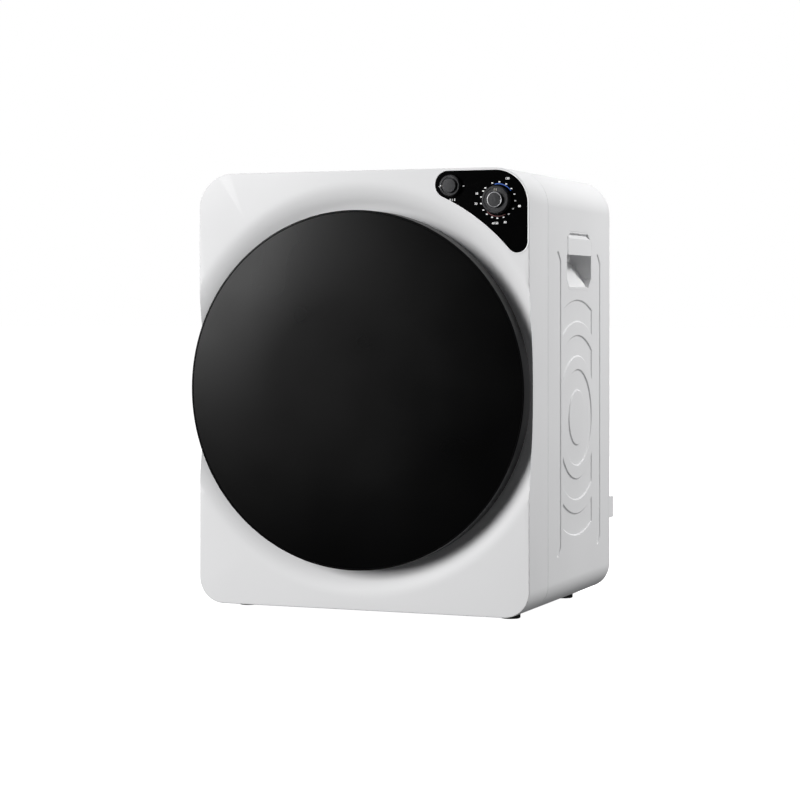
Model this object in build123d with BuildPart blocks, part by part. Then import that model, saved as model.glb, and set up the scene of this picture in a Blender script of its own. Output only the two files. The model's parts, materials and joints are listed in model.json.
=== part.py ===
from build123d import *

import math
import os

# Compact vented tumble dryer: painted cabinet, round overlay door, belt-driven drum and fan.
#
# Frame in millimetres: +X right seen from the front, +Y to the back, +Z up.
# The origin is on the floor, under the centre of the machine.

os.makedirs("parts", exist_ok=True)

# ---------------------------------------------------------------- driving dimensions
HALF_W = 244.5          # half the cabinet width
BASE_Z = 8.0            # underside of the cabinet, on its feet
TOP_Z = 610.0
FRONT_Y = -188.0        # flat front face of the cabinet
REAR_Y = 188.0          # flat rear face of the cabinet
SEAM_Y = -108.0         # joint between the front moulding and the steel shell
TOP_CORNER_R = 50.0
BOTTOM_CORNER_R = 36.0
EDGE_R = 1.5            # rounding of the front and rear perimeters
WALL = 3.0              # moulded front panel
SHEET = 1.0             # steel shell
AXIS_Z = 310.0          # height of the drum and door axis

DISH_R = 287.0          # where the dish around the door meets the flat front
LEDGE_R = 228.0         # foot of the dish's S-shaped slope
LEDGE_DEPTH = 18.0
STEP_R = 224.0          # the floor steps down here, hidden behind the door
DISH_DEPTH = 26.0
MOUTH_R = 160.0         # opening in the front panel

DOOR_R = 245.0
DOOR_FRONT_Y = -212.0
DOOR_RIM_BACK_Y = -184.0
DOOR_BACK_Y = -168.0    # back of the thick middle of the door
GLASS_R = 242.6
GLASS_FRONT_Y, GLASS_BACK_Y = -211.2, -207.1
RIM_WALL = 3.0          # side wall of the door ring

DRUM_R = 222.0
DRUM_FRONT_Y = -146.0
DRUM_BACK_Y = 104.0
DRUM_LIP_R = 168.0
DRUM_SHEET = 1.0

HINGE_X, HINGE_Y = -233.0, -196.0
LUG_DZ = 36.0           # half spacing of the hinge lugs
LUG_SLOT_R, LUG_SLOT_H = 46.0, 5.2
PIN_R = 2.5
SWITCH_X, SWITCH_Z = 208.0, 350.0
MAGNET_X, MAGNET_Z = (203, 215), (292, 328)
DOOR_SCREW_R = 200.0    # circle of the screws that hold the liner
DOOR_SCREWS = [(DOOR_SCREW_R * math.cos(math.radians(a)), AXIS_Z + DOOR_SCREW_R * math.sin(math.radians(a)))
               for a in (30, 90, 150, 210, 270, 330)]

MOTOR_X, MOTOR_Z, MOTOR_R = 178.0, 72.0, 45.0
DRUM_BELT_Y = -21.0
DRUM_DRIVE_R = 7.2
IDLER_X, IDLER_Z, IDLER_R = 92.0, 62.0, 20.0
IDLER_PIVOT_X, IDLER_PIVOT_Z = 52.0, 40.0
FAN_BELT_Y = 166.0
FAN_DRIVE_R = 25.0
FAN_PULLEY_R = 28.0
FAN_R = 88.0
AXLE_R = 8.0
DRUM_BELT_T = 2.0
FAN_BELT_T = 4.0
RUN = 0.3               # gap between curved faces of different bodies

TIMER_X, TIMER_Z = 200.3, 565.6
MODE_X, MODE_Z = 134.0, 586.0
EXHAUST_X, EXHAUST_Z = -62.0, 120.0
INTAKE_Z = 470.0
HANDLE_Y, HANDLE_Z = 35.0, 489.0
HANDLE_LEN, HANDLE_H = 120.0, 82.0
CUP_X = 207.0           # inner face of the handle cups

RIPPLE_Y, RIPPLE_Z = 28.5, 267.0
RIPPLE_HALF = 68.0      # the rings are cut off this far to each side of their centre
RIPPLE_RINGS = [(39.0, 67.5), (87.0, 116.0), (136.0, 166.0)]
GROOVES = [-54.0, 134.0]
GROOVE_W = 9.0
GROOVE_LOW, GROOVE_HIGH = 92.0, 486.0
HOOK = 9.0              # how far the grooves' hooked ends lean to the front
EMBOSS = 1.6            # depth of the pressed pattern in the sides

REAR_SKIN = 1.2         # rear panel, a shallow pan whose rim starts at REAR_RIM_Y
REAR_RIM_Y = REAR_Y - 7.8
REAR_FLANGE = 20.0      # width of the shell's rear flange
REAR_SCREWS = [(side * (HALF_W - 11), z) for side in (-1, 1) for z in (70, 220, 400, 550)]
REAR_SCREWS += [(-120, 597), (120, 597), (-120, 21), (120, 21)]
WALL_MOUNT = [(side * 150, z) for side in (-1, 1) for z in (390, 560)]
WALL_MOUNT_R = 3.0
VENT_X, VENT_Z = 152.0, 118.0
CORD_X, CORD_Z = 150.0, 62.0
CORD_R = 4.2
FOOT_PLACES = [(-197, -126), (197, -126), (-197, 111), (197, 111)]
FOOT_R = 13.5

PANEL_BACK_Y = FRONT_Y + WALL
FLOOR_Y = FRONT_Y + DISH_DEPTH      # floor of the dish, behind the door
FLOOR_BACK_Y = FLOOR_Y + WALL
PAN_Z = BASE_Z + SHEET + 0.05       # base pan, over the shell's lower flange
PAN_T = 1.2
FLOOR_Z = PAN_Z + PAN_T

BULKHEAD_Y, BULKHEAD_T = 112.0, 1.2
SCROLL_X, SCROLL_R = -8.0, 108.0
SCROLL_FRONT_Y, SCROLL_BACK_Y = 113.4, 158.0
DUCT_X, DUCT_Z = (-116.0, -8.0), (64.0, AXIS_Z)
EXHAUST_R = 47.5        # bore of the exhaust spigot
BAR_Y, BAR_Z, BAR_T = 176.0, (278.0, 342.0), 2.5

HEATER_X, HEATER_Z = (-222.0, -142.0), (26.0, 106.0)
HEATER_WALL = 2.0
HEATER_FRONT_Y = -100.0
HEATER_TURN = 233.3     # direction of the heater, seen from the drum axis
SPOUT_MID, SPOUT_LEN, SPOUT_W = 228.0, 132.0, 64.0
DUCT_FRONT_Y = -156.4

DRUM_AXIS = Axis((0, 0, AXIS_Z), (0, 1, 0))
PROFILE = Plane.XY.offset(AXIS_Z)   # radius along X, depth along Y


# ---------------------------------------------------------------- helpers
def facing(y):
    """Sketch plane at depth y: local x is X, local y is Z, and the normal points to the front."""
    return Plane.XZ.offset(-y)


def cabinet_section(inset):
    """Adds the cabinet's outline, shrunk by inset, to the sketch being built."""
    with BuildSketch(mode=Mode.PRIVATE) as outline:
        with Locations((0, (TOP_Z + BASE_Z) / 2)):
            Rectangle(2 * (HALF_W - inset), TOP_Z - BASE_Z - 2 * inset)
        fillet(outline.vertices().group_by(Axis.Y)[-1], TOP_CORNER_R - inset)
        fillet(outline.vertices().group_by(Axis.Y)[0], BOTTOM_CORNER_R - inset)
    add(outline.sketch)


def slab(section, y_front, y_back, mode=Mode.ADD):
    """Extrudes what section() draws between two depths."""
    with BuildSketch(facing(y_back)) as profile:
        section()
    extrude(profile.sketch, amount=y_back - y_front, mode=mode)


def disc(x, z, radius, y_front, y_back, mode=Mode.ADD):
    """A round bar or hole along Y."""
    with BuildSketch(facing(y_back)) as profile:
        with Locations((x, z)):
            Circle(radius)
    extrude(profile.sketch, amount=y_back - y_front, mode=mode)


def block(x, y, z, mode=Mode.ADD):
    """A box given by its (low, high) limits along each axis."""
    with Locations(((x[0] + x[1]) / 2, (y[0] + y[1]) / 2, (z[0] + z[1]) / 2)):
        Box(x[1] - x[0], y[1] - y[0], z[1] - z[0], mode=mode)


def turned(points, mode=Mode.ADD):
    """Revolves a closed outline of (radius, depth) points about the drum axis."""
    with BuildSketch(PROFILE) as profile:
        with BuildLine():
            Polyline(*points, close=True)
        make_face()
    revolve(profile.sketch, axis=DRUM_AXIS, mode=mode)


def save(part, name):
    """Writes one named piece."""
    part.label = name
    export_step(part, f"parts/{name}.step")


# ---------------------------------------------------------------- front moulding
def fascia_outline(grow):
    """Adds the outline of the control fascia, grown by grow, to the sketch being built.

    It fills the top right corner of the front: two round lobes, joined by an arc round the dish."""
    right, top = HALF_W - 1.7 + grow, TOP_Z - 3.0 + grow
    corner_r = TOP_CORNER_R - 3.0 + grow
    hollow_r = DISH_R + 0.5 - grow
    left_r, low_r = 19.0 + grow, 15.3 + grow
    left_z = top - left_r
    left_x = math.sqrt((hollow_r + left_r) ** 2 - (left_z - AXIS_Z) ** 2)
    low_x = right - low_r
    low_z = AXIS_Z + math.sqrt((hollow_r + low_r) ** 2 - low_x ** 2)
    left_turn = math.degrees(math.atan2(left_z - AXIS_Z, left_x))
    low_turn = math.degrees(math.atan2(low_z - AXIS_Z, low_x))
    with BuildSketch(mode=Mode.PRIVATE) as outline:
        with BuildLine():
            left_lobe = CenterArc((left_x, left_z), left_r, 90, 90 + left_turn)
            corner = CenterArc((right - corner_r, top - corner_r), corner_r, 0, 90)
            low_lobe = CenterArc((low_x, low_z), low_r, 0, low_turn - 180)
            Line(left_lobe @ 0, corner @ 1)
            Line(corner @ 0, low_lobe @ 0)
            CenterArc((0, AXIS_Z), hollow_r, low_turn, left_turn - low_turn)
        make_face()
    add(outline.sketch)


def dish_fill(back, inner_r, open_y, mode=Mode.ADD):
    """Solid ring that fills the dish from the depth open_y down to its surface.

    The slope is two equal arcs, tangent to the flat front and to the ledge. back moves the
    surface to the rear by that distance, to give the rear of the skin."""
    run, drop = (DISH_R - LEDGE_R) / 2, LEDGE_DEPTH / 2
    bend_r = (run ** 2 + drop ** 2) / (2 * drop)
    turn = math.degrees(math.asin(run / bend_r))
    ledge_y, floor_y = FRONT_Y + LEDGE_DEPTH + back, FRONT_Y + DISH_DEPTH + back
    with BuildSketch(PROFILE) as profile:
        with BuildLine():
            foot = JernArc((LEDGE_R, ledge_y), (1, 0), bend_r + back, -turn)
            brow = JernArc(foot @ 1, foot % 1, bend_r - back, turn)
            Polyline(brow @ 1, (DISH_R, open_y), (inner_r, open_y), (inner_r, floor_y),
                     (STEP_R + back, floor_y), foot @ 0)
        make_face()
    revolve(profile.sketch, axis=DRUM_AXIS, mode=mode)


def make_front_panel():
    """White moulding: flat face, dished ring around the door, mouth and a skirt back to the seam."""
    with BuildPart() as backing:
        dish_fill(WALL, MOUTH_R - 3, FRONT_Y + 1)
        slab(lambda: cabinet_section(1.0), FRONT_Y, SEAM_Y, Mode.INTERSECT)
    with BuildPart() as panel:
        slab(lambda: cabinet_section(0), FRONT_Y, SEAM_Y)
        fillet(panel.faces().sort_by(Axis.Y)[0].edges(), EDGE_R)
        slab(lambda: cabinet_section(WALL), FRONT_Y + WALL, SEAM_Y, Mode.SUBTRACT)
        add(backing.part)
        dish_fill(0, 0, FRONT_Y - 20, Mode.SUBTRACT)
        disc(0, AXIS_Z, MOUTH_R, FRONT_Y, -130, Mode.SUBTRACT)
        slab(lambda: fascia_outline(1.2), FRONT_Y - 0.5, FRONT_Y + WALL)
        slab(lambda: fascia_outline(0.1), FRONT_Y - 2, FRONT_Y + 1.8, Mode.SUBTRACT)
        disc(TIMER_X, TIMER_Z, 6, FRONT_Y - 2, PANEL_BACK_Y + 1, Mode.SUBTRACT)
        disc(MODE_X, MODE_Z, 6, FRONT_Y - 2, PANEL_BACK_Y + 1, Mode.SUBTRACT)
        disc(SWITCH_X, SWITCH_Z, 3.6, -165, -155, Mode.SUBTRACT)
        for x, y in FOOT_PLACES[:2]:
            with Locations((x, y, BASE_Z)):
                Cylinder(2.6, 20, mode=Mode.SUBTRACT)
    return panel.part


def make_control_fascia():
    """Black gloss plate that lies in the recess, with holes for the two shafts."""
    with BuildPart() as fascia:
        slab(lambda: fascia_outline(0), FRONT_Y, FRONT_Y + 1.75)
        disc(TIMER_X, TIMER_Z, 4, FRONT_Y - 1, FRONT_Y + 3, Mode.SUBTRACT)
        disc(MODE_X, MODE_Z, 4, FRONT_Y - 1, FRONT_Y + 3, Mode.SUBTRACT)
    return fascia.part


def make_drum_front_support():
    """Ring behind the mouth that the drum's front lip turns on, with slots for the hot air."""
    floor_back = FLOOR_BACK_Y
    with BuildPart() as support:
        turned([(157, -161.5), (159.8, -161.5), (159.8, floor_back + 0.1), (196, floor_back + 0.1),
                (196, floor_back + 2.1), (159.8, floor_back + 2.1), (159.8, -134), (157, -134)])
        with BuildSketch(Plane.XZ.offset(155.6)):
            with Locations((0, AXIS_Z)):
                with PolarLocations(158, 8, start_angle=200, angular_range=70):
                    Rectangle(12, 12)
        extrude(amount=-6.4, mode=Mode.SUBTRACT)
    return support.part


def make_front_felt_ring():
    """Felt band between the support ring and the drum's lip."""
    with BuildPart() as felt:
        turned([(160.0, -146), (DRUM_LIP_R - RUN, -146), (DRUM_LIP_R - RUN, -138), (160.0, -138)])
    return felt.part


# ---------------------------------------------------------------- steel cabinet
def ripple_band(inner, outer, half):
    """Adds one ring of the side pattern, cut off at half to each side, to the sketch."""
    with BuildSketch(mode=Mode.PRIVATE) as band:
        with Locations((RIPPLE_Y, RIPPLE_Z)):
            Circle(outer)
            Circle(inner, mode=Mode.SUBTRACT)
            Rectangle(2 * half, 400, mode=Mode.INTERSECT)
    add(band.sketch)


def side_pattern(grow):
    """Adds the pressed pattern of one side: three ripple rings and two hooked grooves."""
    for inner, outer in RIPPLE_RINGS:
        ripple_band(inner - grow, outer + grow, RIPPLE_HALF + grow)
    for y in GROOVES:
        width = GROOVE_W + 2 * grow
        with Locations((y, (GROOVE_LOW + GROOVE_HIGH) / 2)):
            SlotCenterToCenter(GROOVE_HIGH - GROOVE_LOW, width, rotation=90)
        for z, turn in ((GROOVE_LOW, 45), (GROOVE_HIGH, -45)):
            with Locations((y - HOOK / 2, z - math.copysign(HOOK / 2, turn))):
                SlotCenterToCenter(HOOK * math.sqrt(2), width, rotation=turn)


def side_plane(sign, x):
    """Sketch plane on one side at distance x: local x is Y, local y is Z, normal outwards."""
    if sign > 0:
        return Plane(origin=(x, 0, 0), x_dir=(0, 1, 0), z_dir=(1, 0, 0))
    return Plane(origin=(-x, 0, 0), x_dir=(0, 1, 0), z_dir=(1, 0, 0))


def handle_outline(grow):
    """Adds the octagon of the carrying handle, grown by grow, to the sketch being built."""
    with BuildSketch(mode=Mode.PRIVATE) as outline:
        with Locations((HANDLE_Y, HANDLE_Z)):
            Rectangle(HANDLE_LEN + 2 * grow, HANDLE_H + 2 * grow)
        chamfer(outline.vertices(), 14)
    add(outline.sketch)


def make_cabinet_shell():
    """Painted steel wrap with pressed sides, a front joggle and a rear flange."""
    front, back = SEAM_Y + 0.6, REAR_Y - 8.0
    with BuildPart() as shell:
        slab(lambda: cabinet_section(0), front, back)
        slab(lambda: cabinet_section(SHEET), front - 1, back + 1, Mode.SUBTRACT)
        for inset_a, inset_b, y_a, y_b in (
            (0.0, 4.3, front, front + SHEET),
            (3.3, 4.3, SEAM_Y - 10, front + SHEET),
            (0.0, REAR_FLANGE, back - SHEET, back),
        ):
            with BuildSketch(facing(y_b)):
                cabinet_section(inset_a)
                with BuildSketch(mode=Mode.PRIVATE) as inside:
                    cabinet_section(inset_b)
                add(inside.sketch, mode=Mode.SUBTRACT)
            extrude(amount=y_b - y_a)
        for sign in (1, -1):
            with BuildSketch(side_plane(sign, HALF_W - SHEET)):
                side_pattern(1.0)
            extrude(amount=-sign * EMBOSS)
            with BuildSketch(side_plane(sign, HALF_W)):
                side_pattern(0)
            extrude(amount=-sign * EMBOSS, mode=Mode.SUBTRACT)
            with BuildSketch(side_plane(sign, HALF_W - 20)):
                handle_outline(0)
            extrude(amount=sign * 40, mode=Mode.SUBTRACT)
        block((-160, 160), (front + 8, back - 12), (0, BASE_Z + 3), Mode.SUBTRACT)
        for x, y in FOOT_PLACES[2:]:
            with Locations((x, y, BASE_Z)):
                Cylinder(2.6, 10, mode=Mode.SUBTRACT)
        for x, z in REAR_SCREWS:
            disc(x, z, 2.1, back - 3, back + 3, Mode.SUBTRACT)
    return shell.part


def make_base_pan():
    """Pressed plate that closes the bottom, over the shell's lower flanges."""
    low = PAN_Z
    with BuildPart() as pan:
        block((-201, 201), (-103, 172), (low, FLOOR_Z))
        for x in (-110, -40, 30):
            block((x - 6, x + 6), (-70, 140), (FLOOR_Z, low + 4))
            block((x - 4.8, x + 4.8), (-68.8, 138.8), (low, low + 4 - PAN_T), Mode.SUBTRACT)
        for x, y in FOOT_PLACES[2:]:
            with Locations((x, y, low)):
                Cylinder(2.6, 10, mode=Mode.SUBTRACT)
    return pan.part


def make_rear_panel():
    """Pressed steel back with screw dimples, intake and exhaust holes, ribs and cooling slots."""
    with BuildPart() as panel:
        slab(lambda: cabinet_section(0), REAR_RIM_Y, REAR_Y)
        fillet(panel.faces().sort_by(Axis.Y)[-1].edges(), EDGE_R)
        slab(lambda: cabinet_section(REAR_SKIN), REAR_RIM_Y - 1, REAR_Y - REAR_SKIN, Mode.SUBTRACT)
        for x, z in REAR_SCREWS:
            disc(x, z, 9.0, REAR_RIM_Y, REAR_Y - REAR_SKIN)
        slab(lambda: cabinet_section(0), REAR_RIM_Y - 5, REAR_Y + 5, Mode.INTERSECT)
        for x, z in REAR_SCREWS:
            disc(x, z, 7.8, REAR_RIM_Y + REAR_SKIN, REAR_Y + 1, Mode.SUBTRACT)
            disc(x, z, 2.3, REAR_RIM_Y - 1, REAR_Y, Mode.SUBTRACT)
        for z in (230, 265, 355, 390):
            half = 150 if z in (265, 355) else 110
            with BuildSketch(facing(REAR_Y)):
                with Locations((20, z)):
                    SlotOverall(2 * half, 11)
            extrude(amount=3.2)
            with BuildSketch(facing(REAR_Y)):
                with Locations((20, z)):
                    SlotOverall(2 * half - 2.4, 8.6)
            extrude(amount=2.0, mode=Mode.SUBTRACT)
        disc(0, INTAKE_Z, 62, REAR_RIM_Y, REAR_Y + 1, Mode.SUBTRACT)
        disc(EXHAUST_X, EXHAUST_Z, 50, REAR_RIM_Y, REAR_Y + 1, Mode.SUBTRACT)
        disc(CORD_X, CORD_Z, 9, REAR_RIM_Y, REAR_Y + 1, Mode.SUBTRACT)
        for x, z in WALL_MOUNT:
            disc(x, z, WALL_MOUNT_R, REAR_RIM_Y, REAR_Y + 1, Mode.SUBTRACT)
        with BuildSketch(facing(REAR_Y + 1)):
            with Locations((VENT_X, VENT_Z)):
                with GridLocations(9, 1, 12, 1):
                    SlotOverall(52, 4, rotation=90)
        extrude(amount=6, mode=Mode.SUBTRACT)
    return panel.part


def make_intake_cover():
    """Round louvred cover that plugs into the intake hole from behind."""
    with BuildPart() as cover:
        disc(0, INTAKE_Z, 70, REAR_Y + 0.1, REAR_Y + 7)
        fillet(cover.faces().sort_by(Axis.Y)[-1].edges(), 2.5)
        disc(0, INTAKE_Z, 67, REAR_Y + 0.1, REAR_Y + 4.6, Mode.SUBTRACT)
        disc(0, INTAKE_Z, 61.5, REAR_Y - 5, REAR_Y + 4.6)
        disc(0, INTAKE_Z, 59.3, REAR_Y - 6, REAR_Y + 4.6, Mode.SUBTRACT)
        with BuildSketch(facing(REAR_Y + 8)):
            for ring_r, count in ((18, 8), (33, 14), (48, 20)):
                with Locations((0, INTAKE_Z)):
                    with PolarLocations(ring_r, count):
                        SlotOverall(11, 4.2)
        extrude(amount=6, mode=Mode.SUBTRACT)
    return cover.part


def make_intake_filter():
    """Foam pad held inside the intake cover."""
    with BuildPart() as pad:
        disc(0, INTAKE_Z, 59, REAR_Y - 4, REAR_Y + 4.4)
    return pad.part


def make_side_handle(sign):
    """White moulded cup: a grip bar with a finger pocket under it and a thumb scoop above."""
    y_low, y_high = HANDLE_Y - HANDLE_LEN / 2, HANDLE_Y + HANDLE_LEN / 2
    outside = HALF_W + 3
    section = Plane(origin=(0, y_low, 0), x_dir=(1, 0, 0), z_dir=(0, -1, 0))
    with BuildPart() as hollow:
        with BuildSketch(section):
            with BuildLine():
                Polyline((outside, 450.5), (outside, 497), (238, 497), (235.5, 512), (216, 512),
                         (213, 502), (213, 488), (240, 452.5), close=True)
            make_face()
            with BuildLine():
                Polyline((outside, 519), (HALF_W, 520), (HALF_W - 3.8, 526), (HALF_W - 3, 528), (outside, 529),
                         close=True)
            make_face()
        extrude(amount=-HANDLE_LEN)
        with BuildSketch(side_plane(1, 200)):
            handle_outline(-2.5)
        extrude(amount=50, mode=Mode.INTERSECT)
        block((HALF_W - 1.4, outside), (y_low + 5.5, y_low + 8.5), (490, 522))
    with BuildPart() as cup:
        with BuildSketch(side_plane(1, CUP_X)):
            handle_outline(-0.2)
        extrude(amount=HALF_W - CUP_X)
        with BuildSketch(side_plane(1, HALF_W - SHEET - 1.6)):
            handle_outline(5)
        extrude(amount=1.5)
        add(hollow.part, mode=Mode.SUBTRACT)
    if sign > 0:
        return cup.part
    return mirror(cup.part, about=Plane.YZ)


# ---------------------------------------------------------------- feet and small rear parts
def make_rubber_feet():
    """Four rubber feet."""
    with BuildPart() as feet:
        with BuildSketch(Plane.XY):
            with Locations(*FOOT_PLACES):
                Circle(FOOT_R)
        extrude(amount=5.5)
        with BuildSketch(Plane.XY.offset(5.5)):
            with Locations(*FOOT_PLACES):
                Circle(FOOT_R)
        extrude(amount=2.5, taper=40)
        chamfer(feet.faces().group_by(Axis.Z)[0].edges(), 1.0)
    return feet.part


def make_foot_bolts():
    """Stud and nut of each foot."""
    with BuildPart() as bolts:
        for index, (x, y) in enumerate(FOOT_PLACES):
            seat = BASE_Z + WALL if index < 2 else FLOOR_Z
            with Locations((x, y, BASE_Z)):
                Cylinder(2.4, seat + 6 - BASE_Z, align=(Align.CENTER, Align.CENTER, Align.MIN))
            with BuildSketch(Plane.XY.offset(seat)):
                with Locations((x, y)):
                    RegularPolygon(5.0, 6)
            extrude(amount=4)
    return bolts.part


def make_cord_cleats():
    """Two hooked lugs on the back for winding up the mains lead."""
    tip_y = REAR_Y + 24
    with BuildPart() as cleats:
        for sign in (1, -1):
            low, high = sorted((sign * (HALF_W - 22), sign * (HALF_W - 1)))
            block((low, high), (REAR_Y, tip_y), (111, 142))
        chamfer(cleats.faces().filter_by_position(Axis.Y, tip_y - 0.1, tip_y + 0.1).edges(), 1.5)
        for sign in (1, -1):
            low, high = sorted((sign * (HALF_W - 23), sign * (HALF_W - 9)))
            block((low, high), (REAR_Y + 4, REAR_Y + 14), (110, 143), Mode.SUBTRACT)
    return cleats.part


def make_cord_inlet_grommet():
    """Rubber bush that lines the mains lead's hole."""
    with BuildPart() as grommet:
        disc(CORD_X, CORD_Z, 8.9, REAR_Y - 4, REAR_Y + 2)
        disc(CORD_X, CORD_Z, 12, REAR_Y + 0.05, REAR_Y + 2.5)
        disc(CORD_X, CORD_Z, CORD_R, REAR_Y - 5, REAR_Y + 4, Mode.SUBTRACT)
    return grommet.part


def make_rear_panel_screws():
    """Pan-head screws that hold the rear panel to the shell's flange."""
    seat = REAR_RIM_Y + REAR_SKIN
    with BuildPart() as screws:
        for x, z in REAR_SCREWS:
            disc(x, z, 1.9, seat - 10, seat + 1)
            disc(x, z, 4.0, seat, seat + 2.4)
        for x, z in REAR_SCREWS:
            block((x - 2.6, x + 2.6), (seat + 1.3, seat + 3), (z - 0.5, z + 0.5), Mode.SUBTRACT)
            block((x - 0.5, x + 0.5), (seat + 1.3, seat + 3), (z - 2.6, z + 2.6), Mode.SUBTRACT)
    return screws.part


# ---------------------------------------------------------------- controls
def make_knob(x, z, base_r, base_depth, cap_r, cap_depth, flutes):
    """Turned knob with a fluted skirt, a raised cap, a pointer groove and its own shaft."""
    base_y = FRONT_Y - 0.6
    with BuildPart() as knob:
        disc(x, z, base_r, base_y - base_depth, base_y)
        fillet(knob.faces().sort_by(Axis.Y)[0].edges(), 1.2)
        disc(x, z, base_r - 2.4, base_y - base_depth - 1, base_y - base_depth + 1.2, Mode.SUBTRACT)
        disc(x, z, cap_r, base_y - cap_depth, base_y - 1)
        fillet(knob.faces().sort_by(Axis.Y)[0].edges(), 0.8)
        with BuildSketch(facing(base_y)):
            with Locations((x, z)):
                with PolarLocations(base_r + 0.25, flutes):
                    Circle(0.7)
        extrude(amount=base_depth - 3, mode=Mode.SUBTRACT)
        disc(x, z, 3.0, base_y - 1, FRONT_Y + 5.2)
    return knob.part


def make_timer_knob():
    """Timer knob, with its pointer groove at the top."""
    knob = make_knob(TIMER_X, TIMER_Z, 18.8, 11.4, 10.4, 14.4, 36)
    with BuildPart() as done:
        add(knob)
        block((TIMER_X - 0.6, TIMER_X + 0.6), (-202, -197.8), (TIMER_Z + 11.2, TIMER_Z + 15.8),
              Mode.SUBTRACT)
    return done.part


def make_mode_knob():
    """Heat selector knob, with its pointer groove on the left."""
    knob = make_knob(MODE_X, MODE_Z, 14.4, 7.0, 9.8, 9.4, 30)
    with BuildPart() as done:
        add(knob)
        block((MODE_X - 13.2, MODE_X - 10.4), (-197, -193.6), (MODE_Z - 0.5, MODE_Z + 0.5),
              Mode.SUBTRACT)
    return done.part


def make_timer_unit():
    """Clockwork timer behind the fascia, with its bush and terminal blades."""
    back = PANEL_BACK_Y
    with BuildPart() as timer:
        block((TIMER_X - 21, TIMER_X + 21), (back + 2.5, back + 34), (TIMER_Z - 24, TIMER_Z + 24))
        fillet(timer.edges().filter_by(Axis.Y), 4)
        disc(TIMER_X, TIMER_Z, 5.5, back - 1, back + 3)
        disc(TIMER_X, TIMER_Z, 3.15, back - 2, back + 3, Mode.SUBTRACT)
        for dz in (-14, 0, 14):
            block((TIMER_X - 3, TIMER_X + 3), (back + 34, back + 42), (TIMER_Z + dz - 0.4, TIMER_Z + dz + 0.4))
    return timer.part


def make_selector_switch():
    """Rotary heat switch behind the small knob."""
    back = PANEL_BACK_Y
    with BuildPart() as switch:
        disc(MODE_X, MODE_Z, 15, back + 2.5, back + 20)
        disc(MODE_X, MODE_Z, 5.5, back - 1, back + 3)
        disc(MODE_X, MODE_Z, 3.15, back - 2, back + 3, Mode.SUBTRACT)
        for dz in (-7, 7):
            block((MODE_X - 3, MODE_X + 3), (back + 20, back + 28), (MODE_Z + dz - 0.4, MODE_Z + dz + 0.4))
    return switch.part


# ---------------------------------------------------------------- door
def hinge_slots():
    """Cuts the two slots that the fixed hinge lugs pass through as the door swings."""
    for sign in (1, -1):
        with BuildSketch(Plane.XY.offset(AXIS_Z + sign * LUG_DZ - LUG_SLOT_H / 2)) as slot:
            with Locations((HINGE_X, HINGE_Y)):
                Circle(LUG_SLOT_R)
            with Locations((HINGE_X, HINGE_Y + 43)):
                Rectangle(100, 100, mode=Mode.INTERSECT)
        extrude(slot.sketch, amount=LUG_SLOT_H, mode=Mode.SUBTRACT)


def make_door_bezel():
    """Black outer ring of the door, with the ledge that the glass is bonded to."""
    with BuildPart() as bezel:
        turned([(GLASS_R + 0.2, DOOR_FRONT_Y), (DOOR_R - 1.5, DOOR_FRONT_Y),
                (DOOR_R - 0.4, DOOR_FRONT_Y + 0.5), (DOOR_R, DOOR_FRONT_Y + 1.6),
                (DOOR_R, DOOR_RIM_BACK_Y - 1), (DOOR_R - 0.8, DOOR_RIM_BACK_Y),
                (DOOR_R - RIM_WALL, DOOR_RIM_BACK_Y), (DOOR_R - RIM_WALL, -203.2), (229, -203.2),
                (229, GLASS_BACK_Y), (GLASS_R + 0.2, GLASS_BACK_Y)])
        hinge_slots()
    return bezel.part


def make_door_glass():
    """Round black glass of the door front."""
    with BuildPart() as glass:
        turned([(0, GLASS_FRONT_Y), (GLASS_R - 0.6, GLASS_FRONT_Y), (GLASS_R, GLASS_FRONT_Y + 0.6),
                (GLASS_R, GLASS_BACK_Y), (0, GLASS_BACK_Y)])
    return glass.part


def make_door_liner():
    """Moulded inner skin of the door, stepped to fill the dish, with the hinge block inside."""
    skin = 2.5
    rim = DOOR_RIM_BACK_Y
    rim_r = DOOR_R - RIM_WALL - 0.3
    with BuildPart() as liner:
        turned([(rim_r, -203), (rim_r, rim), (223, rim), (221.5, DOOR_BACK_Y),
                (150, DOOR_BACK_Y), (147, -152), (141, -150), (141, -152.5), (144.8, -154.5),
                (147.6, DOOR_BACK_Y - skin), (219.2, DOOR_BACK_Y - skin), (220.7, rim - skin),
                (rim_r - 1.9, rim - skin), (rim_r - 1.9, -203)])
        block((-219, -203), (-195.1, DOOR_BACK_Y - 1), (AXIS_Z - 29, AXIS_Z + 29))
        hinge_slots()
        block((MAGNET_X[0] - 2.1, MAGNET_X[1] + 2.1), (DOOR_BACK_Y - 0.85, -160),
              (MAGNET_Z[0] - 4.1, MAGNET_Z[1] + 4.1), Mode.SUBTRACT)
        for x, z in DOOR_SCREWS:
            disc(x, z, 3.6, -171, -166, Mode.SUBTRACT)
            disc(x, z, 5.4, -205, -169)
            disc(x, z, 3.6, -170, -166, Mode.SUBTRACT)
            disc(x, z, 1.6, -203, -166, Mode.SUBTRACT)
            disc(x, z, 5.6, -206, -203.1, Mode.SUBTRACT)
    return liner.part


def make_door_bowl():
    """Smoked inner bowl of the door, clipped into the liner."""
    with BuildPart() as bowl:
        turned([(0, -143), (60, -144.2), (110, -147.2), (140.8, -151.8), (140.8, -154.3),
                (110, -149.7), (60, -146.7), (0, -145.5)])
        turned([(138, -151), (140.8, -151.4), (140.8, -158), (138, -158)])
    return bowl.part


def make_door_seal():
    """Soft ring on the door's back that closes on the floor of the dish."""
    with BuildPart() as seal:
        turned([(170, DOOR_BACK_Y), (184, DOOR_BACK_Y), (184, -166.4), (180, -162.4),
                (174, -162.4), (170, -166.4)])
    return seal.part


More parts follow.
